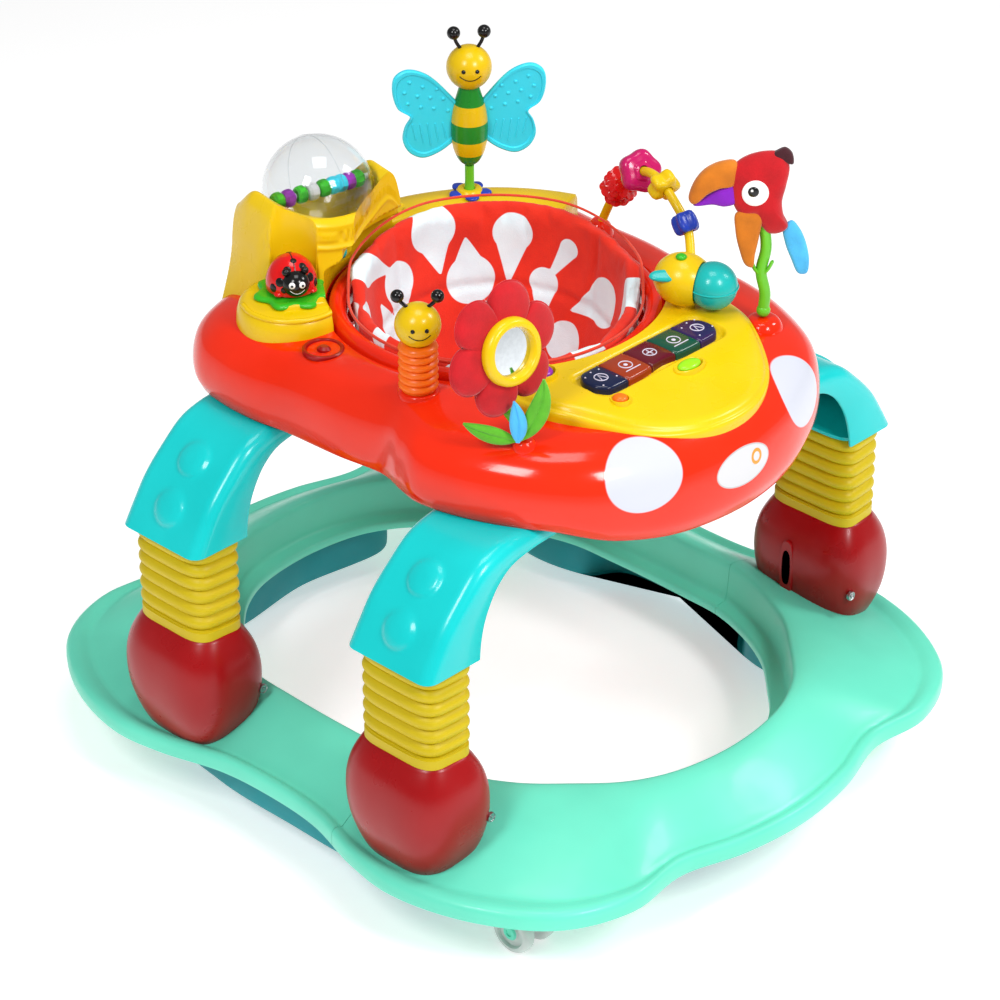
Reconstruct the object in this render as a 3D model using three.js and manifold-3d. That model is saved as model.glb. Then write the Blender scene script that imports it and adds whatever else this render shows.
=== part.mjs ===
// A baby walker: a wavy floor ring on four castors, four sprung legs, and a tray with a swivel
// seat and toys. Millimetres, +Z up, -Y is the front. The origin is on the floor, under the
// middle of the floor ring.
import * as THREE from 'three';
import { mergeVertices } from 'three/addons/utils/BufferGeometryUtils.js';
import Module from 'manifold-3d';

const wasm = await Module();
wasm.setup();

// ---------------------------------------------------------------- driving dimensions
const GAP = 0.3;                  // air left between neighbours
const WALL = 3;                   // moulded wall

const RING_CENTRE = new THREE.Vector2(0, 8);   // centre of the seat ring, seen from above
const SEAT_YAW = -46 * Math.PI / 180;          // the seat is turned this far on its swivel

const LEG_X = 275;                // leg centres, left and right of the middle
const LEG_Y_FRONT = -160;
const LEG_Y_REAR = 126;
const FOOT_BOTTOM = 70;
const FOOT_TOP = 182;
const ARCH_BOTTOM = 275;

const RIM_LOW = 58;               // lower edge of the floor ring's rim
const LEDGE_LOW = 60;
const PAD_LOW = 24;
const CASTOR_X = 241;
const CASTOR_Y = 247;
const WHEEL_R = 21;
const CASTOR_TRAIL = 10;
const WHEEL_SIDES = 16;

const TRAY_TOP = 441;
const TRAY_RIM = 371;
const TRAY_RIM_DIP = 22;          // the front of the rim hangs this much lower
const SEAT_HOLE_R = 152;
const FRAME_LOW = 372.3;
const FRAME_HIGH = 376;
const DECK_TOP = 462;             // top of the yellow rear deck
const NOSE_TOP = 458;             // top of the ladybug's platform

const BALL_CENTRE = new THREE.Vector3(-58, 174, 516);
const BALL_R = 51;
const BALL_AXIS = -12 * Math.PI / 180;         // heading of the ball's axle

// ---------------------------------------------------------------- small helpers
const v2 = (x, y) => new THREE.Vector2(x, y);
const v3 = (x, y, z) => new THREE.Vector3(x, y, z);

function smoothstep(t) {
  const s = Math.min(1, Math.max(0, t));
  return s * s * (3 - 2 * s);
}

// A closed mesh, with shared vertices, as a solid that can be joined and cut.
function solidOf(geometry) {
  const bare = geometry.clone();
  bare.deleteAttribute('normal');
  bare.deleteAttribute('uv');
  const merged = mergeVertices(bare, 1e-4);
  return new wasm.Manifold(new wasm.Mesh({
    numProp: 3,
    vertProperties: new Float32Array(merged.attributes.position.array),
    triVerts: new Uint32Array(merged.index.array),
  }));
}

// A solid back as a geometry.
function geometryOf(solid) {
  const mesh = solid.getMesh();
  const geometry = new THREE.BufferGeometry();
  geometry.setAttribute('position', new THREE.BufferAttribute(mesh.vertProperties, 3));
  geometry.setIndex(new THREE.BufferAttribute(mesh.triVerts, 1));
  return geometry;
}

const join = (...geometries) => geometryOf(
  geometries.map(solidOf).reduce((sum, part) => sum.add(part)),
);

const cut = (geometry, ...tools) => geometryOf(
  tools.map(solidOf).reduce((rest, tool) => rest.subtract(tool), solidOf(geometry)),
);

// Triangles that close one section of a loft.
function capTriangles(section) {
  const normal = v3(0, 0, 0);
  const first = section[0];
  section.forEach((point, i) => {
    const next = section[(i + 1) % section.length];
    normal.add(point.clone().sub(first).cross(next.clone().sub(first)));
  });
  normal.normalize();
  const side = Math.abs(normal.z) < 0.9 ? v3(0, 0, 1) : v3(1, 0, 0);
  const u = side.cross(normal).normalize();
  const v = normal.clone().cross(u);
  const flat = section.map((point) => v2(point.dot(u), point.dot(v)));
  return THREE.ShapeUtils.triangulateShape(flat, []);
}

// A skin over a row of closed sections that have the same number of points.
// With wrap, the last section meets the first, as round a ring.
function loft(sections, wrap = false) {
  const count = sections[0].length;
  const positions = sections.flat().flatMap((point) => [point.x, point.y, point.z]);
  const index = [];
  const rows = wrap ? sections.length : sections.length - 1;
  for (let i = 0; i < rows; i += 1) {
    const here = i * count;
    const there = ((i + 1) % sections.length) * count;
    for (let j = 0; j < count; j += 1) {
      const k = (j + 1) % count;
      index.push(here + j, here + k, there + k, here + j, there + k, there + j);
    }
  }
  if (!wrap) {
    const last = (sections.length - 1) * count;
    capTriangles(sections[0]).forEach(([a, b, c]) => index.push(c, b, a));
    capTriangles(sections[sections.length - 1])
      .forEach(([a, b, c]) => index.push(last + a, last + b, last + c));
  }
  const geometry = new THREE.BufferGeometry();
  geometry.setAttribute('position', new THREE.Float32BufferAttribute(positions, 3));
  geometry.setIndex(index);
  return facingOut(geometry);
}

// Turns every triangle over if the closed mesh is inside out.
function facingOut(geometry) {
  const p = geometry.attributes.position;
  const index = geometry.index.array;
  const at = (i) => v3().fromBufferAttribute(p, index[i]);
  let volume = 0;
  for (let i = 0; i < index.length; i += 3) {
    volume += at(i).dot(at(i + 1).cross(at(i + 2)));
  }
  if (volume < 0) {
    geometry.setIndex(Array.from(index).reverse());
  }
  return geometry;
}

// A round solid about a vertical line through (x, y): profile points are [radius, z].
function turned(profile, segments, x = 0, y = 0) {
  const lathe = new THREE.LatheGeometry(profile.map(([r, z]) => v2(r, z)), segments);
  const flat = lathe.rotateX(Math.PI / 2).translate(x, y, 0);
  flat.deleteAttribute('normal');
  flat.deleteAttribute('uv');
  return facingOut(dropFlatTriangles(mergeVertices(flat, 1e-4)));
}

// Takes out the triangles that collapse where a turned profile meets its axis.
function dropFlatTriangles(geometry) {
  const index = Array.from(geometry.index.array);
  const kept = [];
  for (let i = 0; i < index.length; i += 3) {
    const [a, b, c] = index.slice(i, i + 3);
    if (a !== b && b !== c && c !== a) {
      kept.push(a, b, c);
    }
  }
  geometry.setIndex(kept);
  return geometry;
}

// A vertical round bar.
function bar(r, low, high, x, y, segments = 20) {
  return turned([[0, low], [r, low], [r, high], [0, high]], segments, x, y);
}

// A round bar from one point to another.
function rod(r, from, to, segments = 16) {
  const span = to.clone().sub(from);
  const geometry = bar(r, 0, span.length(), 0, 0, segments);
  geometry.applyQuaternion(new THREE.Quaternion().setFromUnitVectors(
    v3(0, 0, 1),
    span.normalize(),
  ));
  return geometry.translate(from.x, from.y, from.z);
}

// A ball, stretched to three radii.
function ball(rx, ry, rz, centre, across = 14, up = 10) {
  const profile = [];
  for (let i = 0; i <= up; i += 1) {
    const angle = -Math.PI / 2 + (Math.PI * i) / up;
    profile.push([i % up === 0 ? 0 : Math.cos(angle), Math.sin(angle)]);
  }
  return turned(profile, across).scale(rx, ry, rz).translate(centre.x, centre.y, centre.z);
}

// A flat outline, given in (along, up), pushed out to a thickness. It stands on edge at a
// point and faces a heading, where 0 faces -Y.
function standingPlate(outline, thickness, centre, heading, lean = 0) {
  const geometry = new THREE.ExtrudeGeometry(new THREE.Shape(outline), {
    depth: thickness,
    bevelEnabled: false,
  });
  return geometry.translate(0, 0, -thickness / 2).rotateX(Math.PI / 2 - lean)
    .rotateZ(heading).translate(centre.x, centre.y, centre.z);
}

// A smooth closed outline through a few points.
function smoothOutline(points, samples) {
  const curve = new THREE.CatmullRomCurve3(points.map(([x, y]) => v3(x, y, 0)), true);
  return Array.from({ length: samples }, (_, i) => curve.getPoint(i / samples));
}

// A rounded box section: a superellipse with half sizes a (along X) and b (along Y). The side
// that faces away from the middle of the walker is a little narrower.
function roundedSection(a, b, z, centre, outward, count = 12) {
  const power = 0.5;
  return Array.from({ length: count }, (_, i) => {
    const angle = (2 * Math.PI * (i + 0.5)) / count;
    const c = Math.cos(angle);
    const s = Math.sin(angle);
    const x = a * Math.sign(c) * Math.abs(c) ** power;
    const y = b * Math.sign(s) * Math.abs(s) ** power * (1 - 0.05 * outward * (x / a));
    return v3(centre.x + x, centre.y + y, z);
  });
}

// ---------------------------------------------------------------- the model
const walker = new THREE.Group();

const finish = (color, roughness = 0.3, metalness = 0) => new THREE.MeshStandardMaterial({
  color,
  roughness,
  metalness,
});

const FINISH = {
  mint: finish(0x6fe8be, 0.35),
  teal: finish(0x0a9a98, 0.45),
  red: finish(0xe62a0c, 0.22),
  foot: finish(0xa8040c, 0.3),
  yellow: finish(0xe3c510, 0.35),
  blue: finish(0x25cfd8, 0.3),
  grey: finish(0xc8cac8, 0.5),
  steel: finish(0xb8b8b8, 0.35, 0.9),
  fabric: finish(0xe8340f, 0.85),
  clear: finish(0xcfd6da, 0.08),
  green: finish(0x3fb422, 0.35),
  black: finish(0x151515, 0.3),
  orange: finish(0xf08a1c, 0.4),
  wing: finish(0x49bfe0, 0.4),
  plush: finish(0xd0122c, 0.9),
  mirror: finish(0xe8ecf0, 0.05, 0.9),
  purple: finish(0xa13cb4, 0.35),
  magenta: finish(0xc01878, 0.3),
  lime: finish(0x9be02c, 0.35),
};

function add(name, geometry, material) {
  const mesh = new THREE.Mesh(geometry, material);
  mesh.name = name;
  walker.add(mesh);
  return mesh;
}

// ---------------------------------------------------------------- legs: where the four stand
const LEGS = [
  { name: 'rear_right', side: -1, y: LEG_Y_REAR },
  { name: 'front_right', side: -1, y: LEG_Y_FRONT },
  { name: 'front_left', side: 1, y: LEG_Y_FRONT },
  { name: 'rear_left', side: 1, y: LEG_Y_REAR },
];

// The outside of one foot: a swollen rounded block. Each row is [half X, half Y, z].
const FOOT_ROWS = [
  [36, 52, FOOT_BOTTOM],
  [40, 57, 90],
  [44, 61, 108],
  [46, 63, 126],
  [45, 62, 144],
  [39, 57, 162],
  [32, 51, 174],
  [28.5, 47.5, FOOT_TOP],
];

function footBody(leg, grow = 0) {
  const centre = v2(leg.side * LEG_X, leg.y);
  return loft(FOOT_ROWS.map(([a, b, z], row) => roundedSection(
    a + grow,
    b + grow,
    row === 0 ? z - grow : z,
    centre,
    leg.side,
  )));
}

// ---------------------------------------------------------------- the floor ring
// Both outlines run from +X to +Y in one quarter, and are mirrored into the other three.
const RING_OUTER = [
  [300, 0], [304, 60], [322, 125], [328, 180], [308, 256], [263, 320], [200, 347],
  [135, 343], [70, 362], [0, 370],
];
const RING_INNER = [
  [226, 0], [225, 50], [222, 100], [206, 150], [182, 193], [150, 228], [118, 258],
  [84, 277], [45, 288], [0, 292],
];

function fourQuarters(quarter) {
  const back = quarter.slice(1, -1).reverse();
  return [
    ...quarter,
    ...back.map(([x, y]) => [-x, y]),
    ...quarter.slice(0, 1).map(([x, y]) => [-x, y]),
    ...quarter.slice(1).map(([x, y]) => [-x, -y]),
    ...back.map(([x, y]) => [x, -y]),
  ];
}

// The ring's wall in section. Each point is [share of the way from the outer outline to the
// inner one, millimetres further inwards, z].
const RING_PROFILE = [
  [0, 0, RIM_LOW], [0, 0, 70], [0.08, 0, 74.5], [0.18, 0, 73.5], [0.5, 0, 88], [0.8, 0, 104],
  [1, 0, 108], [1, 3, 72], [1, 20, 69], [1, 22, LEDGE_LOW], [1, 19, LEDGE_LOW],
  [1, 18, 66], [1, 0, 69], [1, -3, 104], [0.8, 0, 100.5], [0.5, 0, 84.5], [0.18, 0, 70],
  [0.05, 0, 70], [0.04, 0, RIM_LOW],
];
const RING_STEPS = 44;
const SEAM_Y = -92;               // the ring's two halves meet here

function ringSections() {
  const outer = smoothOutline(fourQuarters(RING_OUTER), RING_STEPS);
  const inner = smoothOutline(fourQuarters(RING_INNER), RING_STEPS);
  return outer.map((from, i) => {
    const across = inner[i].clone().sub(from);
    const inward = across.clone().normalize();
    return RING_PROFILE.map(([share, extra, z]) => from.clone()
      .addScaledVector(across, share)
      .addScaledVector(inward, extra)
      .setZ(z));
  });
}

function floorRing() {
  const shell = loft(ringSections(), true);
  const corners = [[1, 1], [1, -1], [-1, 1], [-1, -1]];
  const bosses = corners.map(([i, j]) => bar(13, 50, 80, i * CASTOR_X, j * CASTOR_Y, 16));
  const bores = corners.map(([i, j]) => bar(5.4, 49, 77, i * CASTOR_X, j * CASTOR_Y, 14));
  const whole = cut(join(shell, ...bosses), ...bores, ...LEGS.map((leg) => footBody(leg, GAP)));
  const half = (low, high) => {
    const box = new THREE.BoxGeometry(900, high - low, 300).translate(0, (low + high) / 2, 100);
    return geometryOf(solidOf(whole).intersect(solidOf(box)));
  };
  add('floor_ring_front', half(-500, SEAM_Y - GAP / 2), FINISH.mint);
  add('floor_ring_rear', half(SEAM_Y + GAP / 2, 500), FINISH.mint);
}

// ---------------------------------------------------------------- stop pads under the ring
// Each pad is an upright-sided block whose outline bends with the ring.
function pad(name, outline) {
  const loop = smoothOutline(outline, 28);
  const rows = [[0.94, PAD_LOW], [1, PAD_LOW + 5], [1, RIM_LOW - 1]];
  const middle = loop.reduce((sum, p) => sum.add(p), v3(0, 0, 0)).divideScalar(loop.length);
  add(name, loft(rows.map(([scale, z]) => loop.map((point) => point.clone()
    .sub(middle).multiplyScalar(scale).add(middle).setZ(z)))), FINISH.teal);
}

function stopPads() {
  const side = [
    [206, -196], [206, -130], [240, -95], [248, -10], [240, 70], [208, 96], [206, 180],
    [262, 180], [284, 90], [286, -10], [284, -100], [262, -196],
  ];
  pad('stop_pad_left', side);
  pad('stop_pad_right', side.map(([x, y]) => [-x, y]).reverse());
  const end = [[-112, 268], [0, 276], [112, 268], [118, 300], [0, 322], [-118, 300]];
  pad('stop_pad_rear', end);
  pad('stop_pad_front', end.map(([x, y]) => [x, -y]).reverse());
}

// ---------------------------------------------------------------- castors
// Each castor is a fork that swivels on its stem, and two wheels on one axle.
function castor(name, x, y) {
  const axleY = y - CASTOR_TRAIL;
  const block = new THREE.BoxGeometry(12, 34, 30).translate(x, axleY + 6, 31);
  const stem = bar(5, 40, 75, x, y, 14);
  const plate = bar(14, 44, 49.4, x, y, 16);
  const bore = rod(3.5, v3(x - 20, axleY, WHEEL_R), v3(x + 20, axleY, WHEEL_R), 12);
  add(`castor_fork_${name}`, cut(join(block, stem, plate), bore), FINISH.grey);
  const tread = WHEEL_R / Math.cos(Math.PI / WHEEL_SIDES);
  const profile = [
    [0, -21], [17, -20], [tread, -17], [tread, -9], [18, -7], [3, -7], [3, 7], [18, 7],
    [tread, 9], [tread, 17], [17, 20], [0, 21],
  ];
  const wheels = turned(profile, WHEEL_SIDES).rotateZ(Math.PI / WHEEL_SIDES)
    .rotateY(Math.PI / 2).translate(x, axleY, WHEEL_R);
  add(`castor_wheels_${name}`, wheels, FINISH.grey);
}

// ---------------------------------------------------------------- legs
function foot(leg) {
  const x = leg.side * LEG_X;
  const centre = v2(x, leg.y);
  const hollow = loft([
    roundedSection(31, 47, FOOT_BOTTOM - 1, centre, leg.side),
    roundedSection(38, 54, 104, centre, leg.side),
  ]);
  const socket = bar(21, 112, FOOT_TOP + 1, x, leg.y, 16);
  add(`foot_${leg.name}`, cut(footBody(leg), hollow, socket), FINISH.foot);
}

const BELLOWS_RIBS = 7;

function bellows(leg) {
  const centre = v2(leg.side * LEG_X, leg.y);
  const low = FOOT_TOP + GAP;
  const high = ARCH_BOTTOM - GAP;
  const rows = [[0, 28, 46], [0.1, 28, 46]];
  for (let i = 0; i < BELLOWS_RIBS; i += 1) {
    const from = 0.1 + (0.88 * i) / BELLOWS_RIBS;
    rows.push([from + 0.015, 24.5, 42.5], [from + 0.07, 28.5, 47]);
  }
  rows.push([1, 24.5, 42.5]);
  const section = (a, b, z) => roundedSection(a, b, z, centre, leg.side, 10);
  const outside = rows.map(([share, a, b]) => section(a, b, low + share * (high - low)));
  const inside = [section(22.5, 40.5, high), section(22.5, 40.5, low)];
  add(`bellows_${leg.name}`, loft([...outside, ...inside], true), FINISH.yellow);
}

function spring(leg) {
  const turns = 6;
  const r = 15.5;
  const low = 112 + 1.6 + GAP;
  const high = ARCH_BOTTOM - 1.6 - GAP;
  class Helix extends THREE.Curve {
    getPoint(t, target = v3()) {
      const angle = 2 * Math.PI * turns * t;
      return target.set(
        leg.side * LEG_X + r * Math.cos(angle),
        leg.y + r * Math.sin(angle),
        low + (high - low) * t,
      );
    }
  }
  const wire = new THREE.Shape(Array.from({ length: 4 }, (_, i) => v2(
    1.5 * Math.cos((2 * Math.PI * i) / 4),
    1.5 * Math.sin((2 * Math.PI * i) / 4),
  )));
  const coil = new THREE.ExtrudeGeometry(wire, {
    steps: turns * 6,
    extrudePath: new Helix(),
  });
  add(`leg_spring_${leg.name}`, coil, FINISH.steel);
}

// An arch runs up and inwards from its leg. Each row gives the outer face and the inner face,
// as [distance outwards from the leg's centre, z].
const ARCH_ROWS = [
  [34, ARCH_BOTTOM, -29, ARCH_BOTTOM], [23, 294, -31, 290], [8, 317, -36, 308],
  [-14, 340, -45, 325], [-36, 358.5, -55, 337], [-60, 367, -70, 347],
  [-92, 370.5, -96, 352.5], [-125, FRAME_LOW - GAP, -125, 354],
];

function arch(leg) {
  const half = 50;
  const point = (d, y, z) => v3(leg.side * (LEG_X + d), leg.y + y, z);
  const channel = loft(ARCH_ROWS.map(([d0, z0, d1, z1], row) => {
    const w = half - (4 * row) / (ARCH_ROWS.length - 1);
    const out = v2(d0 - d1, z0 - z1).normalize();
    const floor = [d0 - WALL * out.x, z0 - WALL * out.y];
    return [
      point(d0, w - 7, z0), point(d0, -w + 7, z0), point(d0 - 3 * out.x, -w + 1.5, z0 - 3 * out.y),
      point(d1, -w, z1), point(d1, -w + WALL, z1), point(floor[0], -w + WALL + 5, floor[1]),
      point(floor[0], w - WALL - 5, floor[1]), point(d1, w - WALL, z1), point(d1, w, z1),
      point(d0 - 3 * out.x, w - 1.5, z0 - 3 * out.y),
    ];
  }));
  const x = leg.side * LEG_X;
  const floor = loft([ARCH_BOTTOM, ARCH_BOTTOM + 4].map((z) => {
    const front = 32.4 - 0.5 * (z - ARCH_BOTTOM);
    return [
      point(front, 42.8, z), point(front, -42.8, z), point(-28.5, -48.4, z),
      point(-28.5, 48.4, z),
    ];
  }));
  const post = bar(11, 145, ARCH_BOTTOM + 2, x, leg.y, 12);
  add(`arch_${leg.name}`, join(channel, floor, post), FINISH.blue);
}

// ---------------------------------------------------------------- the tray
// Half of the rim's outline, from the back round the left side to the front.
const TRAY_HALF = [
  [0, 240], [70, 236], [135, 224], [182, 206], [206, 178], [214, 145], [215, 105], [210, 66],
  [207, 0], [202, -50], [210, -78], [216, -104], [210, -140], [194, -183], [172, -220],
  [142, -248], [104, -267], [60, -281], [0, -288],
];
const TRAY_STEPS = 44;

const trayRim = smoothOutline([
  ...TRAY_HALF,
  ...TRAY_HALF.slice(1, -1).reverse().map(([x, y]) => [-x, y]),
], TRAY_STEPS);

// The tray's rounded edge: [inwards, as a share of the rounding; height, as a share].
const TRAY_EDGE = [
  [0.04, 0], [-0.02, 0.15], [-0.02, 0.42], [0.06, 0.67], [0.25, 0.86], [0.52, 0.955], [1, 1],
];

const rimHeight = (y) => TRAY_RIM - TRAY_RIM_DIP * smoothstep((-y - 214) / 74);

// Where a point of the rim lies on the way to the seat hole.
function towardsHole(rimPoint, holeR) {
  const centre = v3(RING_CENTRE.x, RING_CENTRE.y, 0);
  const ray = rimPoint.clone().sub(centre);
  const length = ray.length() - holeR;
  const inward = ray.normalize().negate();
  return { length, inward, rounding: Math.min(75, 0.8 * length) };
}

const TOY_SOCKET = v2(-168, 55);
const WORM = v2(-163, -57);
const PARROT = v2(134, -190);
const PARROT_BUMP_TOP = 447;

function trayShell() {
  const sections = trayRim.map((rim) => {
    const { length, inward, rounding } = towardsHole(rim, SEAT_HOLE_R);
    const low = rimHeight(rim.y);
    const at = (inset, z) => rim.clone().addScaledVector(inward, inset).setZ(z);
    const outside = TRAY_EDGE.map(([e, f]) => at(e * rounding, low + f * (TRAY_TOP - low)));
    const inside = TRAY_EDGE.map(([e, f]) => at(
      e * rounding + 3.2,
      low + f * (TRAY_TOP - low - WALL),
    )).reverse();
    return [...outside, at(length, TRAY_TOP), at(length, TRAY_TOP - 8),
      at(length - WALL, TRAY_TOP - 8), at(length - WALL, TRAY_TOP - WALL), ...inside];
  });
  const shell = loft(sections, true);
  const cup = bar(17, 418, 440, TOY_SOCKET.x, TOY_SOCKET.y, 16);
  const socket = bar(14.5, 421, 450, TOY_SOCKET.x, TOY_SOCKET.y, 16);
  const seat = bar(18, 426, TRAY_TOP + 1.3, WORM.x, WORM.y, 16);
  const bump = turned([
    [0, 412], [19, 412], [18, 440], [11, PARROT_BUMP_TOP], [0, PARROT_BUMP_TOP],
  ], 14, PARROT.x, PARROT.y);
  add('tray_shell', cut(join(shell, cup, seat, bump), socket), FINISH.red);
}

// The space that the tray fills up to its top skin, used to seat pieces on it.
function trayFilled() {
  const rows = TRAY_EDGE.map(([e, f]) => trayRim.map((rim) => {
    const { inward, rounding } = towardsHole(rim, SEAT_HOLE_R);
    const low = rimHeight(rim.y);
    return rim.clone().addScaledVector(inward, e * rounding)
      .setZ(low + f * (TRAY_TOP - low) + GAP);
  }));
  return loft(rows);
}

const trayBlock = trayFilled();
const ringClearance = bar(152.5, 380, 620, RING_CENTRE.x, RING_CENTRE.y, 48);

function trayFrame() {
  const sections = trayRim.map((rim) => {
    const { length, inward } = towardsHole(rim, 157);
    const at = (inset, z) => rim.clone().addScaledVector(inward, inset).setZ(z);
    return [at(14, FRAME_LOW), at(length, FRAME_LOW), at(length, FRAME_HIGH), at(14, FRAME_HIGH)];
  });
  add('tray_frame', loft(sections, true), FINISH.red);
}

// ---------------------------------------------------------------- the seat
function seatRing() {
  const profile = [
    [133.2, 424], [156, 424], [156, 432.5], [149, 432.5], [149, 442], [146, 446.5],
    [138, 447], [133.2, 442], [133.2, 424],
  ];
  add('seat_ring', turned(profile, 36, RING_CENTRE.x, RING_CENTRE.y), FINISH.red);
}

// Height of the seat's top edge: a high back, side wings, then a low front.
function seatEdge(angleFromBack) {
  const a = Math.abs(angleFromBack) * 180 / Math.PI;
  const wing = 486 - 14 * smoothstep((a - 25) / 55);
  return wing - 23 * smoothstep((a - 80) / 18);
}

function seatFabric() {
  const steps = 24;
  const skin = 8;
  const outer = [[20, 266], [48, 270], [78, 288], [102, 325], [118, 370], [128, 415], [132, 0]];
  const inner = [[132 - skin, 0], [120, 415], [110, 372], [94, 330], [71, 295], [44, 279],
    [18, 275]];
  const ring = ([r, z]) => Array.from({ length: steps }, (_, i) => {
    const angle = (2 * Math.PI * i) / steps;
    const fromBack = Math.atan2(Math.sin(angle - Math.PI / 2), Math.cos(angle - Math.PI / 2));
    return v3(r * Math.cos(angle), r * Math.sin(angle), z === 0 ? seatEdge(fromBack) : z);
  });
  const bowl = loft([...outer, ...inner].map(ring));
  const legHole = (side) => rod(34, v3(side * 42, -10, 318), v3(side * 62, -140, 316), 20);
  const seat = cut(bowl, legHole(-1), legHole(1));
  add('seat_fabric', seat.rotateZ(SEAT_YAW).translate(RING_CENTRE.x, RING_CENTRE.y, 0),
    FINISH.fabric);
}

// ---------------------------------------------------------------- rear deck and ball tower
function ballFrame(geometry) {
  return geometry.rotateZ(BALL_AXIS).translate(BALL_CENTRE.x, BALL_CENTRE.y, 0);
}

const LADYBUG = v2(-138, 125);

function toyDeck() {
  const arc = [];
  const start = 20;
  const end = 150;
  for (let a = start; a <= end; a += 10) {
    arc.push(v2(196 * Math.cos(a * Math.PI / 180), 196 * Math.sin(a * Math.PI / 180)));
  }
  for (let a = end; a >= start; a -= 10) {
    arc.push(v2(145 * Math.cos(a * Math.PI / 180), 145 * Math.sin(a * Math.PI / 180)));
  }
  const rail = new THREE.ExtrudeGeometry(new THREE.Shape(arc), {
    depth: DECK_TOP - 405,
    bevelEnabled: false,
  }).translate(RING_CENTRE.x, RING_CENTRE.y, 405);
  const nose = bar(44, 405, NOSE_TOP, -141, 122, 24);
  const face = new THREE.Shape([
    v2(-90, 405), v2(-88, 455), v2(-74, 500), v2(-69, 533), v2(-61, 541), v2(-54, 534),
    v2(-40, 516), v2(-20, 506), v2(20, 506), v2(40, 516), v2(54, 534), v2(61, 541),
    v2(69, 533), v2(75, 492), v2(90, 462), v2(90, 405),
  ].reverse());
  const tower = ballFrame(new THREE.ExtrudeGeometry(face, { depth: 90, bevelEnabled: false })
    .rotateX(Math.PI / 2).translate(0, 52, 0));
  const bay = bar(36, NOSE_TOP, 600, LADYBUG.x, LADYBUG.y, 20);
  const cavity = ball(BALL_R + 3, BALL_R + 3, BALL_R + 3, BALL_CENTRE, 20, 12);
  const bore = ballFrame(rod(3.4, v3(-62, 0, BALL_CENTRE.z), v3(62, 0, BALL_CENTRE.z), 10));
  const window = ballFrame(new THREE.BoxGeometry(44, 50, 30).translate(18, -40, 482));
  const footprint = new THREE.ExtrudeGeometry(new THREE.Shape(
    trayRim.map((rim) => v2(rim.x * 0.97, rim.y * 0.985)),
  ), { depth: 200, bevelEnabled: false }).translate(0, 0, 400);
  const whole = geometryOf(solidOf(join(rail, nose, tower)).intersect(solidOf(footprint)));
  const deck = cut(whole, cavity, bore, window, bay, trayBlock, ringClearance);
  add('toy_deck', deck, FINISH.yellow);
}

function clearBall() {
  const profile = [];
  const steps = 8;
  const arc = (r, i) => {
    const least = Math.asin(4 / r);
    const angle = least + ((Math.PI - 2 * least) * i) / steps;
    return [r * Math.sin(angle), r * Math.cos(angle)];
  };
  for (let i = 0; i <= steps; i += 1) {
    profile.push(arc(BALL_R, i));
  }
  for (let i = steps; i >= 0; i -= 1) {
    profile.push(arc(BALL_R - 2, i));
  }
  profile.push(profile[0]);
  const shell = turned(profile, 18).rotateY(Math.PI / 2).translate(0, 0, BALL_CENTRE.z);
  add('clear_ball', ballFrame(shell), FINISH.clear);
}

function beadAxle() {
  const profile = [[0, -60], [2.8, -60], [2.8, -44]];
  for (let x = -36; x <= 36; x += 12) {
    profile.push([2.8, x - 5.6], [8, x - 3], [8, x + 3], [2.8, x + 5.6]);
  }
  profile.push([2.8, 44], [2.8, 60], [0, 60]);
  const axle = turned(profile, 8).rotateY(Math.PI / 2).translate(0, 0, BALL_CENTRE.z);
  add('bead_axle', ballFrame(axle), FINISH.purple);
}

function ladybug() {
  const { x, y } = LADYBUG;
  const waves = Array.from({ length: 28 }, (_, i) => {
    const angle = (2 * Math.PI * i) / 28;
    const r = 33 + 2.5 * Math.cos(7 * angle);
    return v3(x + r * Math.cos(angle), y + r * Math.sin(angle), 0);
  });
  const leaf = loft([[0.94, 0.3], [1, 2.5], [0.92, 6]].map(([scale, rise]) => waves.map(
    (p) => v3(x + (p.x - x) * scale, y + (p.y - y) * scale, NOSE_TOP + rise),
  )));
  add('ladybug_leaf', cut(leaf, ringClearance), FINISH.green);
  const low = NOSE_TOP + 6.3;
  const below = new THREE.BoxGeometry(120, 120, 60).translate(x, y, low - 30);
  const shell = ball(24, 24, 30, v3(x, y, low + 4), 14, 10);
  const head = ball(14, 14, 13, v3(x - 12, y - 12, low + 13), 10, 8);
  add('ladybug', cut(join(shell, head), below), FINISH.red);
}

// ---------------------------------------------------------------- toys on stems
function antennae(centre, spread, rise, heading, r = 6) {
  return [-1, 1].flatMap((side) => {
    const tip = v3(side * spread * Math.cos(heading), side * spread * Math.sin(heading), rise)
      .add(centre);
    return [rod(1.8, centre, tip, 6), ball(r, r, r, tip, 8, 6)];
  });
}

function butterfly() {
  const foot = v3(111, 148, DECK_TOP + GAP);
  const heading = -38 * Math.PI / 180;
  const base = turned([
    [0, foot.z], [19, foot.z], [19, foot.z + 4], [8, foot.z + 10], [0, foot.z + 10],
  ], 16, foot.x, foot.y);
  const stem = bar(4.5, foot.z + 8, 491.5, foot.x, foot.y, 8);
  add('butterfly_stem', join(base, stem), FINISH.green);
  const body = turned([
    [0, 491.8], [9, 493], [16, 508], [17, 545], [11, 570], [0, 574],
  ], 12, foot.x, foot.y);
  const head = ball(21, 21, 21, v3(foot.x, foot.y, 590), 12, 8);
  const wing = (side) => {
    const outline = smoothOutline([
      [8, 545], [34, 588], [62, 590], [70, 570], [56, 546], [62, 520], [48, 502], [28, 508],
      [8, 530],
    ], 20).map((p) => v2(side * p.x, p.y));
    return standingPlate(side > 0 ? outline : outline.reverse(), 5, v3(foot.x, foot.y, 0), heading);
  };
  const horns = antennae(v3(foot.x, foot.y, 600), 14, 26, heading);
  add('butterfly', join(body, head, wing(-1), wing(1), ...horns), FINISH.wing);
}

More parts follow.
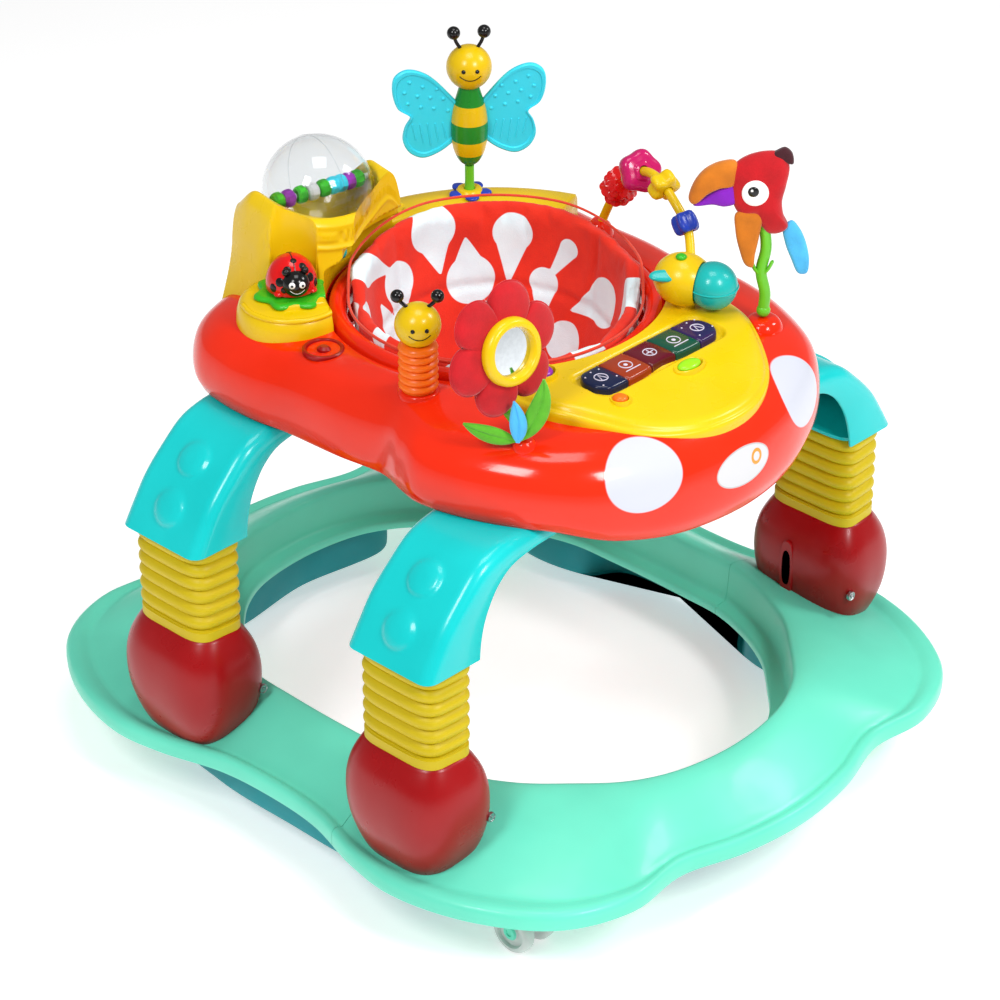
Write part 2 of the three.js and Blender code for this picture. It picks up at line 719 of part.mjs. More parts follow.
function worm() {
  const { x, y } = WORM;
  const low = TRAY_TOP - 3;
  const profile = [[0, low + 4.6], [15, low + 4.6]];
  for (let i = 1; i < 6; i += 1) {
    const z = low + 2 + i * 8;
    profile.push([14.5, z], [17.5, z + 4]);
  }
  profile.push([14.5, low + 50], [0, low + 50]);
  const column = turned(profile, 12, x, y);
  const head = ball(20, 20, 20, v3(x, y, low + 66), 12, 8);
  const horns = antennae(v3(x, y, low + 74), 17, 20, -46 * Math.PI / 180);
  add('worm', join(column, head, ...horns), FINISH.orange);
}

const FLOWER_FOOT = v3(-162, -180, 405);
const FLOWER_HEAD = v3(-172, -171, 530);
const FLOWER_HINGE = v3(-170, -169, 473);      // the head nods on a ball here
const FLOWER_HEADING = -26 * Math.PI / 180;
const FLOWER_LEAN = 10 * Math.PI / 180;

function flower() {
  const rise = FLOWER_HINGE.clone().sub(FLOWER_FOOT).normalize();
  const stem = rod(5, FLOWER_FOOT, FLOWER_HINGE.clone().addScaledVector(rise, -6 - GAP), 10);
  const base = rod(14, FLOWER_FOOT, FLOWER_FOOT.clone().add(v3(0, 0, 42)), 12);
  const leaf = (length, tilt) => ball(9, 4, length / 2, v3(0, 0, length / 2 - 5), 8, 8)
    .rotateY(tilt).rotateZ(-46 * Math.PI / 180)
    .translate(FLOWER_FOOT.x, FLOWER_FOOT.y, 442);
  add('flower_leaves', cut(
    join(stem, base, leaf(52, -1.0), leaf(46, 0.7)),
    trayBlock,
  ), FINISH.green);
  const petals = smoothOutline(Array.from({ length: 20 }, (_, i) => {
    const angle = (2 * Math.PI * i) / 20 + Math.PI / 2;
    const r = 49 + 11 * Math.cos(5 * (angle - Math.PI / 2));
    return [r * Math.cos(angle), r * Math.sin(angle)];
  }), 40).map((p) => v2(p.x, p.y));
  const facing = (geometry, out) => geometry.translate(0, 0, out)
    .rotateX(Math.PI / 2 - FLOWER_LEAN).rotateZ(FLOWER_HEADING)
    .translate(FLOWER_HEAD.x, FLOWER_HEAD.y, FLOWER_HEAD.z);
  const head = facing(new THREE.ExtrudeGeometry(new THREE.Shape(petals), {
    depth: 16,
    bevelEnabled: false,
  }), -16);
  const pivot = ball(6, 6, 6, FLOWER_HINGE, 12, 8);
  const neck = rod(4.5, FLOWER_HINGE, v3(-172, -170, 497), 10);
  add('flower_petals', join(head, pivot, neck), FINISH.plush);
  const frame = turned([
    [0, GAP], [27, GAP], [30, 3], [30, 7], [26, 11], [21, 9], [19.5, 5], [0, 5],
  ], 24);
  add('mirror_frame', facing(frame, 0), FINISH.mirror);
}

// A plush bird's head on a soft stem, seen from its side.
function parrot() {
  const heading = -46 * Math.PI / 180;
  const head = smoothOutline([
    [-62, 564], [-50, 590], [-22, 598], [-4, 614], [17, 608], [20, 580], [12, 556], [26, 548],
    [38, 518], [42, 496], [30, 504], [20, 536], [4, 538], [-2, 510], [-16, 524], [-20, 556],
    [-40, 568],
  ], 40).map((p) => v2(p.x, p.y));
  const shape = standingPlate(head.reverse(), 22, v3(PARROT.x, PARROT.y, 0), heading);
  const pivot = v3(PARROT.x, PARROT.y, PARROT_BUMP_TOP + GAP + 6);
  const root = ball(6, 6, 6, pivot, 12, 8);
  const stem = rod(5.6, pivot, v3(PARROT.x - 2, PARROT.y + 2, 522), 12);
  add('parrot', join(root, stem, shape), FINISH.plush);
}

// ---------------------------------------------------------------- music panel
const PANEL_HALF = [
  [0, -268], [38, -261], [74, -239], [102, -206], [122, -172], [130, -142], [123, -112],
  [104, -94], [60, -100], [0, -120],
];
const panelTop = (y) => 456 - 26 * smoothstep((-y - 175) / 95);

const KEY_Y = -175;
const KEY_PITCH = 31;
const KEY_DEPTH = 36;
const KEY_LOW = 447;
const KEY_NAMES = ['navy', 'orange', 'maroon', 'green', 'violet'];
const KEY_COLOURS = [0x1c2f52, 0xa84818, 0x5c1420, 0x14605a, 0x241546];
const BUTTONS = [
  { name: 'purple', x: -92, y: -134, r: 10, finish: FINISH.purple },
  { name: 'orange', x: -72, y: -206, r: 7, finish: FINISH.orange },
  { name: 'lime', x: 14, y: -208, r: 8, finish: FINISH.lime },
];

function panel() {
  const outline = smoothOutline([
    ...PANEL_HALF,
    ...PANEL_HALF.slice(1, -1).reverse().map(([x, y]) => [-x, y]),
  ], 40);
  const middle = v3(0, -170, 0);
  const row = (inset, drop) => outline.map((p) => {
    const inward = middle.clone().sub(p).normalize();
    const q = p.clone().addScaledVector(inward, inset);
    return q.setZ(drop === null ? 395 : panelTop(p.y) - drop);
  });
  const block = loft([row(0, null), row(0, 9), row(4, 3), row(12, 0)]);
  const keyBox = new THREE.BoxGeometry(KEY_PITCH * 5 + 1.2, KEY_DEPTH + 1.2, 40)
    .translate(0, KEY_Y, KEY_LOW - 2.6 + 20);
  const wells = BUTTONS.map(({ x, y, r }) => bar(
    r + 0.6,
    panelTop(y) - 9,
    480,
    x,
    y,
    14,
  ));
  add('music_panel', cut(block, keyBox, ...wells, trayBlock, ringClearance), FINISH.yellow);
  KEY_NAMES.forEach((name, i) => {
    const x = (i - 2) * KEY_PITCH;
    const width = KEY_PITCH - 0.8;
    const key = loft([[0, KEY_LOW], [0, 456], [1.5, 457.5]].map(([inset, z]) => [
      v3(x - width / 2 + inset, KEY_Y - KEY_DEPTH / 2 + inset, z),
      v3(x + width / 2 - inset, KEY_Y - KEY_DEPTH / 2 + inset, z),
      v3(x + width / 2 - inset, KEY_Y + KEY_DEPTH / 2 - inset, z),
      v3(x - width / 2 + inset, KEY_Y + KEY_DEPTH / 2 - inset, z),
    ]));
    add(`key_${name}`, key, finish(KEY_COLOURS[i], 0.3));
  });
  BUTTONS.forEach((button) => {
    const top = panelTop(button.y);
    add(`button_${button.name}`, turned([
      [0, top - 5], [button.r, top - 5], [button.r, top + 2], [button.r - 2, top + 4],
      [0, top + 4.5],
    ], 14, button.x, button.y), button.finish);
  });
}

// ---------------------------------------------------------------- bead arc and plane
const ARC_POINTS = [
  v3(161, 30, 436), v3(163, 24, 466), v3(158, 2, 502), v3(145, -32, 532), v3(134, -62, 540),
  v3(125, -92, 528), v3(122, -110, 510), v3(108, -127, 491),
];
const ARC_CURVE = new THREE.CatmullRomCurve3(ARC_POINTS);
const BEAD_PLACES = { bead_red: 0.3, bead_magenta: 0.5 };

function beadArc() {
  const section = new THREE.Shape(Array.from({ length: 8 }, (_, i) => v2(
    4.2 * Math.cos((2 * Math.PI * i) / 8),
    4.2 * Math.sin((2 * Math.PI * i) / 8),
  )));
  const tube = new THREE.ExtrudeGeometry(section, { steps: 24, extrudePath: ARC_CURVE });
  const collar = turned([[0, 412], [16, 412], [14, 446], [8, 458], [0, 458]], 14, 161, 30);
  add('bead_arc', cut(join(collar, tube), trayBlock, ringClearance), FINISH.yellow);
  const profiles = {
    bead_red: [[6, -14], [16, -12], [18, 0], [16, 12], [6, 14], [6, -14]],
    bead_magenta: [[6, -8], [17, -8], [20.5, -4], [20.5, 4], [17, 8], [6, 8], [6, -8]],
  };
  const colours = { bead_red: FINISH.red, bead_magenta: FINISH.magenta };
  Object.entries(BEAD_PLACES).forEach(([name, share]) => {
    const bead = turned(profiles[name], 16);
    bead.applyQuaternion(new THREE.Quaternion().setFromUnitVectors(
      v3(0, 0, 1),
      ARC_CURVE.getTangentAt(share),
    ));
    const at = ARC_CURVE.getPointAt(share);
    add(name, bead.translate(at.x, at.y, at.z), colours[name]);
  });
}

const PLANE_BODY = v3(90, -138, 481);
const PLANE_BALL = v3(99, -161, 480);

function plane() {
  const cowl = ball(24, 25, 25, PLANE_BODY, 14, 10);
  const post = bar(8, 440, 470, PLANE_BODY.x, PLANE_BODY.y, 12);
  const socket = ball(22.8, 22.8, 22.8, PLANE_BALL, 16, 12);
  const arcEnd = rod(5.2, v3(107, -128, 489), v3(123, -108, 513), 10);
  const panelSpace = new THREE.BoxGeometry(200, 200, 60).translate(90, -130, panelTop(-130) - 29.7);
  add('plane_body', cut(join(cowl, post), socket, arcEnd, panelSpace), FINISH.yellow);
  add('plane_ball', ball(22, 22, 22, PLANE_BALL, 14, 10), FINISH.teal);
}

// ---------------------------------------------------------------- everything
floorRing();
stopPads();
castor('front_left', CASTOR_X, -CASTOR_Y);
castor('front_right', -CASTOR_X, -CASTOR_Y);
castor('rear_left', CASTOR_X, CASTOR_Y);
castor('rear_right', -CASTOR_X, CASTOR_Y);
LEGS.forEach((leg) => {
  foot(leg);
  bellows(leg);
  spring(leg);
  arch(leg);
});
trayShell();
trayFrame();
seatRing();
seatFabric();
toyDeck();
clearBall();
beadAxle();
ladybug();
butterfly();
worm();
flower();
parrot();
panel();
beadArc();
plane();

export default walker;
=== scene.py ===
# %% [markdown]
# # A baby walker
# The walker is a wavy floor ring on four castors, four sprung legs, and a tray that carries a
# padded swivel seat and a ring of toys. The frame below is the measured model: every piece made
# here is a finer skin over one of its nodes and, but for the bellows and springs, rides on the
# same body, so it moves as that node does. Small prints, ribs, beads and screws are added in the
# same way.
# %% Load the frame
import bpy
import bmesh
import numpy as np
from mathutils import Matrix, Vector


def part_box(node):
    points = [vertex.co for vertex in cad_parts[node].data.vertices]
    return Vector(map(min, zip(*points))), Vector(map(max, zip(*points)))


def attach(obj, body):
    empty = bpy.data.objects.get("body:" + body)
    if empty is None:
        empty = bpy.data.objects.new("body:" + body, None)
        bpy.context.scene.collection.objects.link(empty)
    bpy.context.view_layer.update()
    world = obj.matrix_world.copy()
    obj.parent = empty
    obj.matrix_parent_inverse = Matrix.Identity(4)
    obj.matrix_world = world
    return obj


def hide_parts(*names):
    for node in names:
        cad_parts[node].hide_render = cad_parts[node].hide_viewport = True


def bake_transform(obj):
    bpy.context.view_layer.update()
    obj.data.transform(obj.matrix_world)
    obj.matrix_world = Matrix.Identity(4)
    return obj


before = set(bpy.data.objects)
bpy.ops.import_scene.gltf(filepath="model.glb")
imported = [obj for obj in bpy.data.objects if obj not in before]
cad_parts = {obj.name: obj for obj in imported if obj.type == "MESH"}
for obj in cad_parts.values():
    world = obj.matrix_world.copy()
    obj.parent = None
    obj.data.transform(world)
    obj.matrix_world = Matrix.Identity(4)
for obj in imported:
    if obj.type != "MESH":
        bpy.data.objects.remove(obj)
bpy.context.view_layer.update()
print("frame loaded,", len(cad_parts), "nodes")

# %% [markdown]
# ## Camera and light
# A long lens looks from well above the front right corner, so that the legs stay nearly
# parallel. Glossy shells show whatever is bright around them, so a single sun would leave hard
# dots. Four soft square lamps give broad highlights instead, and the pale floor and sky fill
# the shadows.
# %% Camera
MM = 0.001
VIEW_AZIMUTH = np.radians(-46.3)
VIEW_ELEVATION = np.radians(30.8)
VIEW_TARGET = np.array([-91.2, -84.4, 312.0]) * MM
VIEW_DISTANCE = 3.1239
BACK = np.array([np.sin(VIEW_AZIMUTH) * np.cos(VIEW_ELEVATION),
                 -np.cos(VIEW_AZIMUTH) * np.cos(VIEW_ELEVATION), np.sin(VIEW_ELEVATION)])
scene = bpy.context.scene
camera = bpy.data.objects.new("camera", bpy.data.cameras.new("camera"))
scene.collection.objects.link(camera)
camera.data.lens = 127.9
camera.data.sensor_width = 36
camera.location = VIEW_TARGET + BACK * VIEW_DISTANCE
camera.rotation_euler = (np.pi / 2 - VIEW_ELEVATION, 0, VIEW_AZIMUTH)
scene.camera = camera
scene.view_settings.view_transform = "Standard"
print("camera at", [round(v, 3) for v in camera.location])


# %% Lamps and floor
def softbox(name, azimuth, elevation, distance, size, power):
    """A square lamp that faces the walker's middle from that azimuth and elevation."""
    a, e = np.radians([azimuth, elevation])
    away = np.array([np.sin(a) * np.cos(e), -np.cos(a) * np.cos(e), np.sin(e)])
    lamp = bpy.data.objects.new(name, bpy.data.lights.new(name, "AREA"))
    lamp.data.shape = "RECTANGLE"
    lamp.data.size, lamp.data.size_y = size
    lamp.data.energy = power
    lamp.location = np.array([0, 0, 0.35]) + away * distance
    lamp.rotation_euler = (np.pi / 2 - e, 0, a)
    scene.collection.objects.link(lamp)


softbox("lamp_front", -8, 38, 2.4, (0.5, 0.6), 26)
softbox("lamp_right", -78, 44, 2.4, (0.5, 0.7), 22)
softbox("lamp_left", 52, 40, 2.6, (0.6, 0.6), 20)
softbox("lamp_top", -40, 86, 2.2, (0.9, 0.9), 14)
world = bpy.data.worlds.new("studio")
world.use_nodes = True
world.node_tree.nodes["Background"].inputs["Color"].default_value = (1, 1, 1, 1)
world.node_tree.nodes["Background"].inputs["Strength"].default_value = 0.3
scene.world = world
floor_mesh = bpy.data.meshes.new("floor")
floor_mesh.from_pydata([(x, y, -0.0005) for x, y in ((-20, -20), (20, -20), (20, 20), (-20, 20))],
                       [], [(0, 1, 2, 3)])
floor = bpy.data.objects.new("floor", floor_mesh)
scene.collection.objects.link(floor)
paper = bpy.data.materials.new("white_paper")
paper.use_nodes = True
paper_shader = paper.node_tree.nodes["Principled BSDF"]
paper_shader.inputs["Base Color"].default_value = (0.86, 0.86, 0.86, 1)
paper_shader.inputs["Roughness"].default_value = 0.9
paper_shader.inputs["Specular IOR Level"].default_value = 0.1
paper_shader.inputs["Emission Color"].default_value = (1, 1, 1, 1)
paper_shader.inputs["Emission Strength"].default_value = 0.45
floor_mesh.materials.append(paper)
print("four lamps and a floor")

# %% [markdown]
# ## Shapes as arrays
# The walker is moulded plastic and stuffed cloth, with hardly a flat face. Such shapes could be
# modelled by hand, or with many modifiers. Here each is a grid of points: rows along one
# parameter, columns along the other. The helpers make the grids in millimetres, join
# neighbouring points into quads, and turn the result into one closed mesh in metres. A grid
# keeps its even quads however the outline changes, so the highlights run smoothly.
# %% Curves
FULL_TURN = np.radians(np.arange(0, 360, 2))


def through(points, count, closed=True):
    """A smooth curve through the points. Each stretch is a cubic whose slopes come from its
    neighbours, weighed by the square root of the spans (a centripetal spline)."""
    p = np.asarray(points, float)
    n = len(p)
    if closed:
        t = np.arange(count) * n / count
        i = t.astype(int)
        a, b, c, d = (p[(i + k) % n] for k in (-1, 0, 1, 2))
    else:
        t = np.linspace(0, n - 1, count)
        i = np.minimum(t.astype(int), n - 2)
        longer = np.vstack([2 * p[0] - p[1], p, 2 * p[-1] - p[-2]])
        a, b, c, d = (longer[i + k] for k in (0, 1, 2, 3))
    f = (t - i)[:, None]
    ab, bc, cd = (np.sqrt(np.linalg.norm(v - u, axis=1) + 1e-9)[:, None]
                  for u, v in ((a, b), (b, c), (c, d)))
    start = ((b - a) / ab - (c - a) / (ab + bc) + (c - b) / bc) * bc
    end = ((c - b) / bc - (d - b) / (bc + cd) + (d - c) / cd) * bc
    return (b + start * f + (3 * (c - b) - 2 * start - end) * f ** 2
            + (2 * (b - c) + start + end) * f ** 3)


def smoothstep(t):
    """0 below 0, 1 above 1, and an S-shaped cubic between."""
    s = np.clip(t, 0, 1)
    return s * s * (3 - 2 * s)


def facing(heading, lean=0):
    """Rows are right, up and outward of a piece that faces that heading, where 0 is -Y.
    The top leans back by lean. Local points times this give the walker's axes."""
    h, k = np.radians([heading, lean])
    return np.array([[np.cos(h), np.sin(h), 0],
                     [-np.sin(h) * np.sin(k), np.cos(h) * np.sin(k), np.cos(k)],
                     [np.sin(h) * np.cos(k), -np.cos(h) * np.cos(k), np.sin(k)]])


def axes_along(direction):
    """Rows are two sideways axes and the direction itself: level, level x direction, direction."""
    w = np.asarray(direction, float) / np.linalg.norm(direction)
    u = np.cross((0, 0, 1), w)
    u = u / np.linalg.norm(u)
    return np.array([u, np.cross(w, u), w])


def circle(radius, at=(0, 0, 0), turn=FULL_TURN):
    """Points of a level circle: at + radius (cos a, sin a, 0) for each angle a."""
    return (np.stack([radius * np.cos(turn), radius * np.sin(turn), 0 * turn], axis=-1)
            + np.asarray(at, float))


print("curve helpers ready")


# %% Solids from grids
def skin(rows, ends=True, ring=False):
    """Quads between neighbouring rows of points, each row closed on itself. ring joins the last
    row to the first. Otherwise ends closes the two end rows with fans about their middles.
    A shape is its points and its groups of faces."""
    grid = np.asarray(rows, float)
    n, m = grid.shape[:2]
    index = np.arange(n * m).reshape(n, m)
    a = index if ring else index[:-1]
    b = np.roll(index, -1, axis=0) if ring else index[1:]
    a1, b1 = (np.roll(k, -1, axis=1) for k in (a, b))
    quads = np.stack([a, a1, b1, b], axis=-1).reshape(-1, 4)
    points = grid.reshape(-1, 3)
    if ring or not ends:
        return points, [quads]
    first, last = index[0], index[-1]
    fans = [np.stack([np.roll(first, -1), first, np.full(m, n * m)], -1),
            np.stack([last, np.roll(last, -1), np.full(m, n * m + 1)], -1)]
    return np.vstack([points, grid[0].mean(0), grid[-1].mean(0)]), [quads, *fans]


def lifted(flat, height):
    """Rows of (x, y) points with one height for each row."""
    z = np.broadcast_to(np.asarray(height, float)[:, None, None], flat.shape[:2] + (1,))
    return np.concatenate([flat, z], axis=-1)


def turned(profile, count=48, at=(0, 0, 0), axes=None, ring=False):
    """A profile of (radius, height) carried round an axis: (r cos a, r sin a, height). axes
    rows are the two sideways directions and the axis."""
    p = np.asarray(profile, float)
    angle = np.arange(count) * 2 * np.pi / count
    local = np.stack([p[:, :1] * np.cos(angle), p[:, :1] * np.sin(angle),
                      np.repeat(p[:, 1:2], count, axis=1)], axis=-1)
    axes = np.eye(3) if axes is None else axes
    return skin(local @ axes + np.asarray(at, float), ring=ring)


def ball(at, radii, axes=None, count=40, low=-89.5):
    """A stretched ball above a latitude: radii times (cos b cos a, cos b sin a, sin b)."""
    latitude = np.radians(np.linspace(low, 89.5, count // 2 + 1))
    angle = np.arange(count) * 2 * np.pi / count
    local = np.stack([np.cos(latitude)[:, None] * np.cos(angle),
                      np.cos(latitude)[:, None] * np.sin(angle),
                      np.repeat(np.sin(latitude)[:, None], count, axis=1)], axis=-1)
    local = local * np.asarray(radii, float)
    axes = np.eye(3) if axes is None else axes
    return skin(local @ axes + np.asarray(at, float))


def tube(path, radius, count=16, hint=(0, 0, 1), flat=1.0, ring=False):
    """A round section carried along a path. The radius may change from point to point. The
    ends are rounded by two short, narrower rows."""
    p = np.asarray(path, float)
    r = np.broadcast_to(np.asarray(radius, float), (len(p),)).copy()
    along = (np.roll(p, -1, axis=0) - np.roll(p, 1, axis=0)) if ring else np.gradient(p, axis=0)
    along = along / np.linalg.norm(along, axis=1, keepdims=True)
    side = np.cross(along, np.asarray(hint, float))
    side = side / np.linalg.norm(side, axis=1, keepdims=True)
    up = np.cross(side, along)
    if not ring:
        p = np.vstack([p[0] - along[0] * r[0] * 0.35, p, p[-1] + along[-1] * r[-1] * 0.35])
        side, up = (np.vstack([k[:1], k, k[-1:]]) for k in (side, up))
        r = np.concatenate([r[:1] * 0.6, r, r[-1:] * 0.6])
    angle = np.arange(count) * 2 * np.pi / count
    local = (side[:, None] * np.cos(angle)[:, None] + flat * up[:, None] * np.sin(angle)[:, None])
    return skin(p[:, None] + r[:, None, None] * local, ring=ring)


def plate(outline, profile, axes, at, middle=(0, 0)):
    """A flat shape with a worked edge: the outline shrunk towards its middle by each share of
    the profile, at that height. The profile runs from the back's middle to the front's."""
    o = np.asarray(outline, float)
    m = np.asarray(middle, float)
    share, height = np.asarray(profile, float).T
    local = lifted(m + share[:, None, None] * (o - m), height)
    return skin(local @ axes + np.asarray(at, float))


def rounded_edge(thickness, share=0.93, crown=0.0):
    """A plate's profile: flat back, half-round rim, and a front that rises by crown."""
    t = thickness / 2
    angle = np.radians(np.linspace(-90, 90, 7))
    rim = np.stack([share + (1 - share) * np.cos(angle), t * np.sin(angle)], -1)
    back = [[0.02, -t - crown], [0.4, -t - crown * 0.8], [0.75, -t - crown * 0.4]]
    front = [[s, -h] for s, h in back[::-1]]
    return np.array(back + rim.tolist() + front)


print("grid helpers ready")


# %% From shapes to a piece
def mesh_of(name, shapes):
    """One mesh in metres from closed shapes in millimetres. The face numbers of a shape are
    moved on by the number of points before it."""
    faces, start = [], 0
    for points, groups in shapes:
        for group in groups:
            faces += (group + start).tolist()
        start += len(points)
    mesh = bpy.data.meshes.new(name)
    mesh.from_pydata((np.vstack([points for points, _ in shapes]) * MM).tolist(), [], faces)
    return mesh


def settle(name, mesh, body, finish, replaces=(), sharp=40):
    """Links a finished mesh, with its faces turned outwards, edges sharper than the angle kept
    crisp, its finish and body. A body is a name; anything else, such as two names and two points,
    leaves the piece fixed in place on no body."""
    work = bmesh.new()
    work.from_mesh(mesh)
    bmesh.ops.recalc_face_normals(work, faces=work.faces)
    work.to_mesh(mesh)
    work.free()
    mesh.polygons.foreach_set("use_smooth", np.ones(len(mesh.polygons), bool))
    mesh.set_sharp_from_angle(angle=np.radians(sharp))
    mesh.materials.append(finish)
    made = bpy.data.objects.new(name, mesh)
    scene.collection.objects.link(made)
    if isinstance(body, str):
        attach(made, body)
    else:
        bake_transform(made)
    if replaces:
        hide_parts(*replaces)
    return made


def piece(name, shapes, body, finish, replaces=(), sharp=40):
    """One object from a closed shape or a list of them."""
    mesh = mesh_of(name, shapes if isinstance(shapes, list) else [shapes])
    return settle(name, mesh, body, finish, replaces, sharp)


print("piece maker ready")

# %% [markdown]
# ## Finishes
# Moulded plastic is a coloured body under a thin gloss. One flat colour would look like paint
# on a screen, so the colour drifts slightly over a few centimetres, the gloss varies with it,
# and a very fine bump breaks up the highlights. Cloth and plush are rough, with a sheen and a
# weave or pile in the bump. Every pattern reads object coordinates, so it needs no unwrapping
# and stays on the piece when the piece moves.
# %% Plastic
def linear(colour):
    """An sRGB colour, 0 to 255, as linear light."""
    c = np.array(colour) / 255
    return tuple(np.where(c < 0.04045, c / 12.92, ((c + 0.055) / 1.055) ** 2.4)) + (1.0,)


def nodes_of(name):
    """A new material with its node tree, shader and object coordinates."""
    material = bpy.data.materials.new(name)
    material.use_nodes = True
    tree = material.node_tree
    return material, tree, tree.nodes["Principled BSDF"], tree.nodes.new("ShaderNodeTexCoord")


def noise(tree, coords, scale, detail=3.0):
    """A noise pattern on object coordinates."""
    node = tree.nodes.new("ShaderNodeTexNoise")
    node.inputs["Scale"].default_value = scale
    node.inputs["Detail"].default_value = detail
    tree.links.new(coords.outputs["Object"], node.inputs["Vector"])
    return node


def spread(tree, value, low, high, low_in=0.3, high_in=0.7):
    """A value carried from one range to another."""
    node = tree.nodes.new("ShaderNodeMapRange")
    for key, number in (("From Min", low_in), ("From Max", high_in), ("To Min", low),
                        ("To Max", high)):
        node.inputs[key].default_value = number
    tree.links.new(value, node.inputs["Value"])
    return node.outputs["Result"]


def two_tone(tree, factor, first, second):
    """The first colour where the factor is 0, the second where it is 1."""
    node = tree.nodes.new("ShaderNodeMix")
    node.data_type = "RGBA"
    node.inputs["A"].default_value = first
    node.inputs["B"].default_value = second
    tree.links.new(factor, node.inputs["Factor"])
    return node.outputs["Result"]


def bump(tree, shader, height, strength, distance=0.0004):
    """Relief from a height."""
    node = tree.nodes.new("ShaderNodeBump")
    node.inputs["Strength"].default_value = strength
    node.inputs["Distance"].default_value = distance
    tree.links.new(height, node.inputs["Height"])
    tree.links.new(node.outputs["Normal"], shader.inputs["Normal"])


def plastic(name, colour, roughness=0.22, drift=0.06, coat=0.125, grain=0.05):
    """Moulded plastic of one colour, darker and lighter by the drift in broad patches."""
    material, tree, shader, coords = nodes_of(name)
    base = np.array(linear(colour))
    low = tuple(base[:3] * (1 - drift)) + (1.0,)
    high = tuple(np.minimum(base[:3] * (1 + drift) + 0.004, 1)) + (1.0,)
    broad = noise(tree, coords, 9.0)
    tree.links.new(two_tone(tree, spread(tree, broad.outputs["Fac"], 0, 1), low, high),
                   shader.inputs["Base Color"])
    tree.links.new(spread(tree, noise(tree, coords, 34.0).outputs["Fac"], roughness * 0.85,
                          roughness * 1.2), shader.inputs["Roughness"])
    shader.inputs["Specular IOR Level"].default_value = 0.32
    shader.inputs["Coat Weight"].default_value = coat
    shader.inputs["Coat Roughness"].default_value = 0.06
    bump(tree, shader, noise(tree, coords, 1400.0, 1.0).outputs["Fac"], grain)
    return material


RED = plastic("red_gloss", (232, 36, 2), 0.16, coat=0.15)
DARK_RED = plastic("dark_red_gloss", (156, 0, 6), 0.3, coat=0.05, grain=0.0)
MINT = plastic("mint_satin", (104, 224, 194), 0.34, coat=0.05)
TEAL = plastic("teal_rubber", (8, 140, 148), 0.5, coat=0)
YELLOW = plastic("yellow_gloss", (228, 190, 2), 0.28, coat=0.05)
TURQUOISE = plastic("turquoise_gloss", (12, 200, 200), 0.22, coat=0.125)
BELLOWS_YELLOW = plastic("bellows_yellow", (206, 182, 4), 0.45, coat=0)
GREY = plastic("grey_satin", (205, 208, 206), 0.42, coat=0.05)
WHITE = plastic("white_satin", (240, 240, 240), 0.34, drift=0.02)
BLACK = plastic("black_gloss", (12, 12, 12), 0.18)
GREEN = plastic("leaf_green", (52, 178, 28), 0.26)
STEM_GREEN = plastic("stem_green", (104, 196, 40), 0.35)
ORANGE = plastic("orange_satin", (244, 112, 10), 0.36, coat=0.05)
BLUE = plastic("deep_blue", (30, 62, 178), 0.3)
LADYBIRD_RED = plastic("ladybird_red", (214, 12, 14), 0.14, coat=0.25)
BEE_YELLOW = plastic("bee_yellow", (220, 182, 2), 0.25, coat=0.05)
BEE_GREEN = plastic("bee_green", (24, 132, 34), 0.24)
WING_BLUE = plastic("wing_blue", (56, 214, 236), 0.36, coat=0.025)
PURPLE = plastic("purple_gloss", (150, 42, 170), 0.26)
MAGENTA = plastic("magenta_gloss", (184, 14, 92), 0.2, coat=0.2)
LIME = plastic("lime_gloss", (150, 226, 22), 0.28)
AQUA = plastic("aqua_gloss", (22, 176, 172), 0.24)
print("plastics ready")


# %% Cloth, plush, clear plastic, mirror and steel
def plush(name, colour):
    """Short pile: rough, with a soft sheen and a fine nap."""
    material, tree, shader, coords = nodes_of(name)
    base = np.array(linear(colour)[:3])
    blotch = noise(tree, coords, 60.0, 4.0)
    tree.links.new(two_tone(tree, spread(tree, blotch.outputs["Fac"], 0, 1),
                            tuple(base * 0.82) + (1.0,), tuple(base * 1.08) + (1.0,)),
                   shader.inputs["Base Color"])
    shader.inputs["Roughness"].default_value = 0.9
    shader.inputs["Sheen Weight"].default_value = 0.35
    shader.inputs["Sheen Roughness"].default_value = 0.4
    bump(tree, shader, noise(tree, coords, 700.0, 4.0).outputs["Fac"], 0.35, 0.0008)
    return material


def clear(name, colour):
    """Clear moulded plastic: mostly see-through, with a plastic's mirror gloss."""
    material, tree, shader, coords = nodes_of(name)
    faint = noise(tree, coords, 12.0)
    tree.links.new(two_tone(tree, spread(tree, faint.outputs["Fac"], 0, 1), linear(colour),
                            tuple(np.array(linear(colour)[:3]) * 0.94) + (1.0,)),
                   shader.inputs["Base Color"])
    shader.inputs["Roughness"].default_value = 0.03
    shader.inputs["Transmission Weight"].default_value = 1.0
    shader.inputs["IOR"].default_value = 1.04
    shader.inputs["Coat Weight"].default_value = 0.6
    shader.inputs["Coat Roughness"].default_value = 0.03
    bump(tree, shader, noise(tree, coords, 30.0, 1.0).outputs["Fac"], 0.02)
    return material


def metal(name, colour, roughness):
    """Bare metal, with a faint drawn grain."""
    material, tree, shader, coords = nodes_of(name)
    streak = noise(tree, coords, 240.0)
    tree.links.new(two_tone(tree, spread(tree, streak.outputs["Fac"], 0, 1), linear(colour),
                            tuple(np.array(linear(colour)[:3]) * 0.9) + (1.0,)),
                   shader.inputs["Base Color"])
    shader.inputs["Metallic"].default_value = 1.0
    shader.inputs["Roughness"].default_value = roughness
    bump(tree, shader, streak.outputs["Fac"], 0.04)
    return material


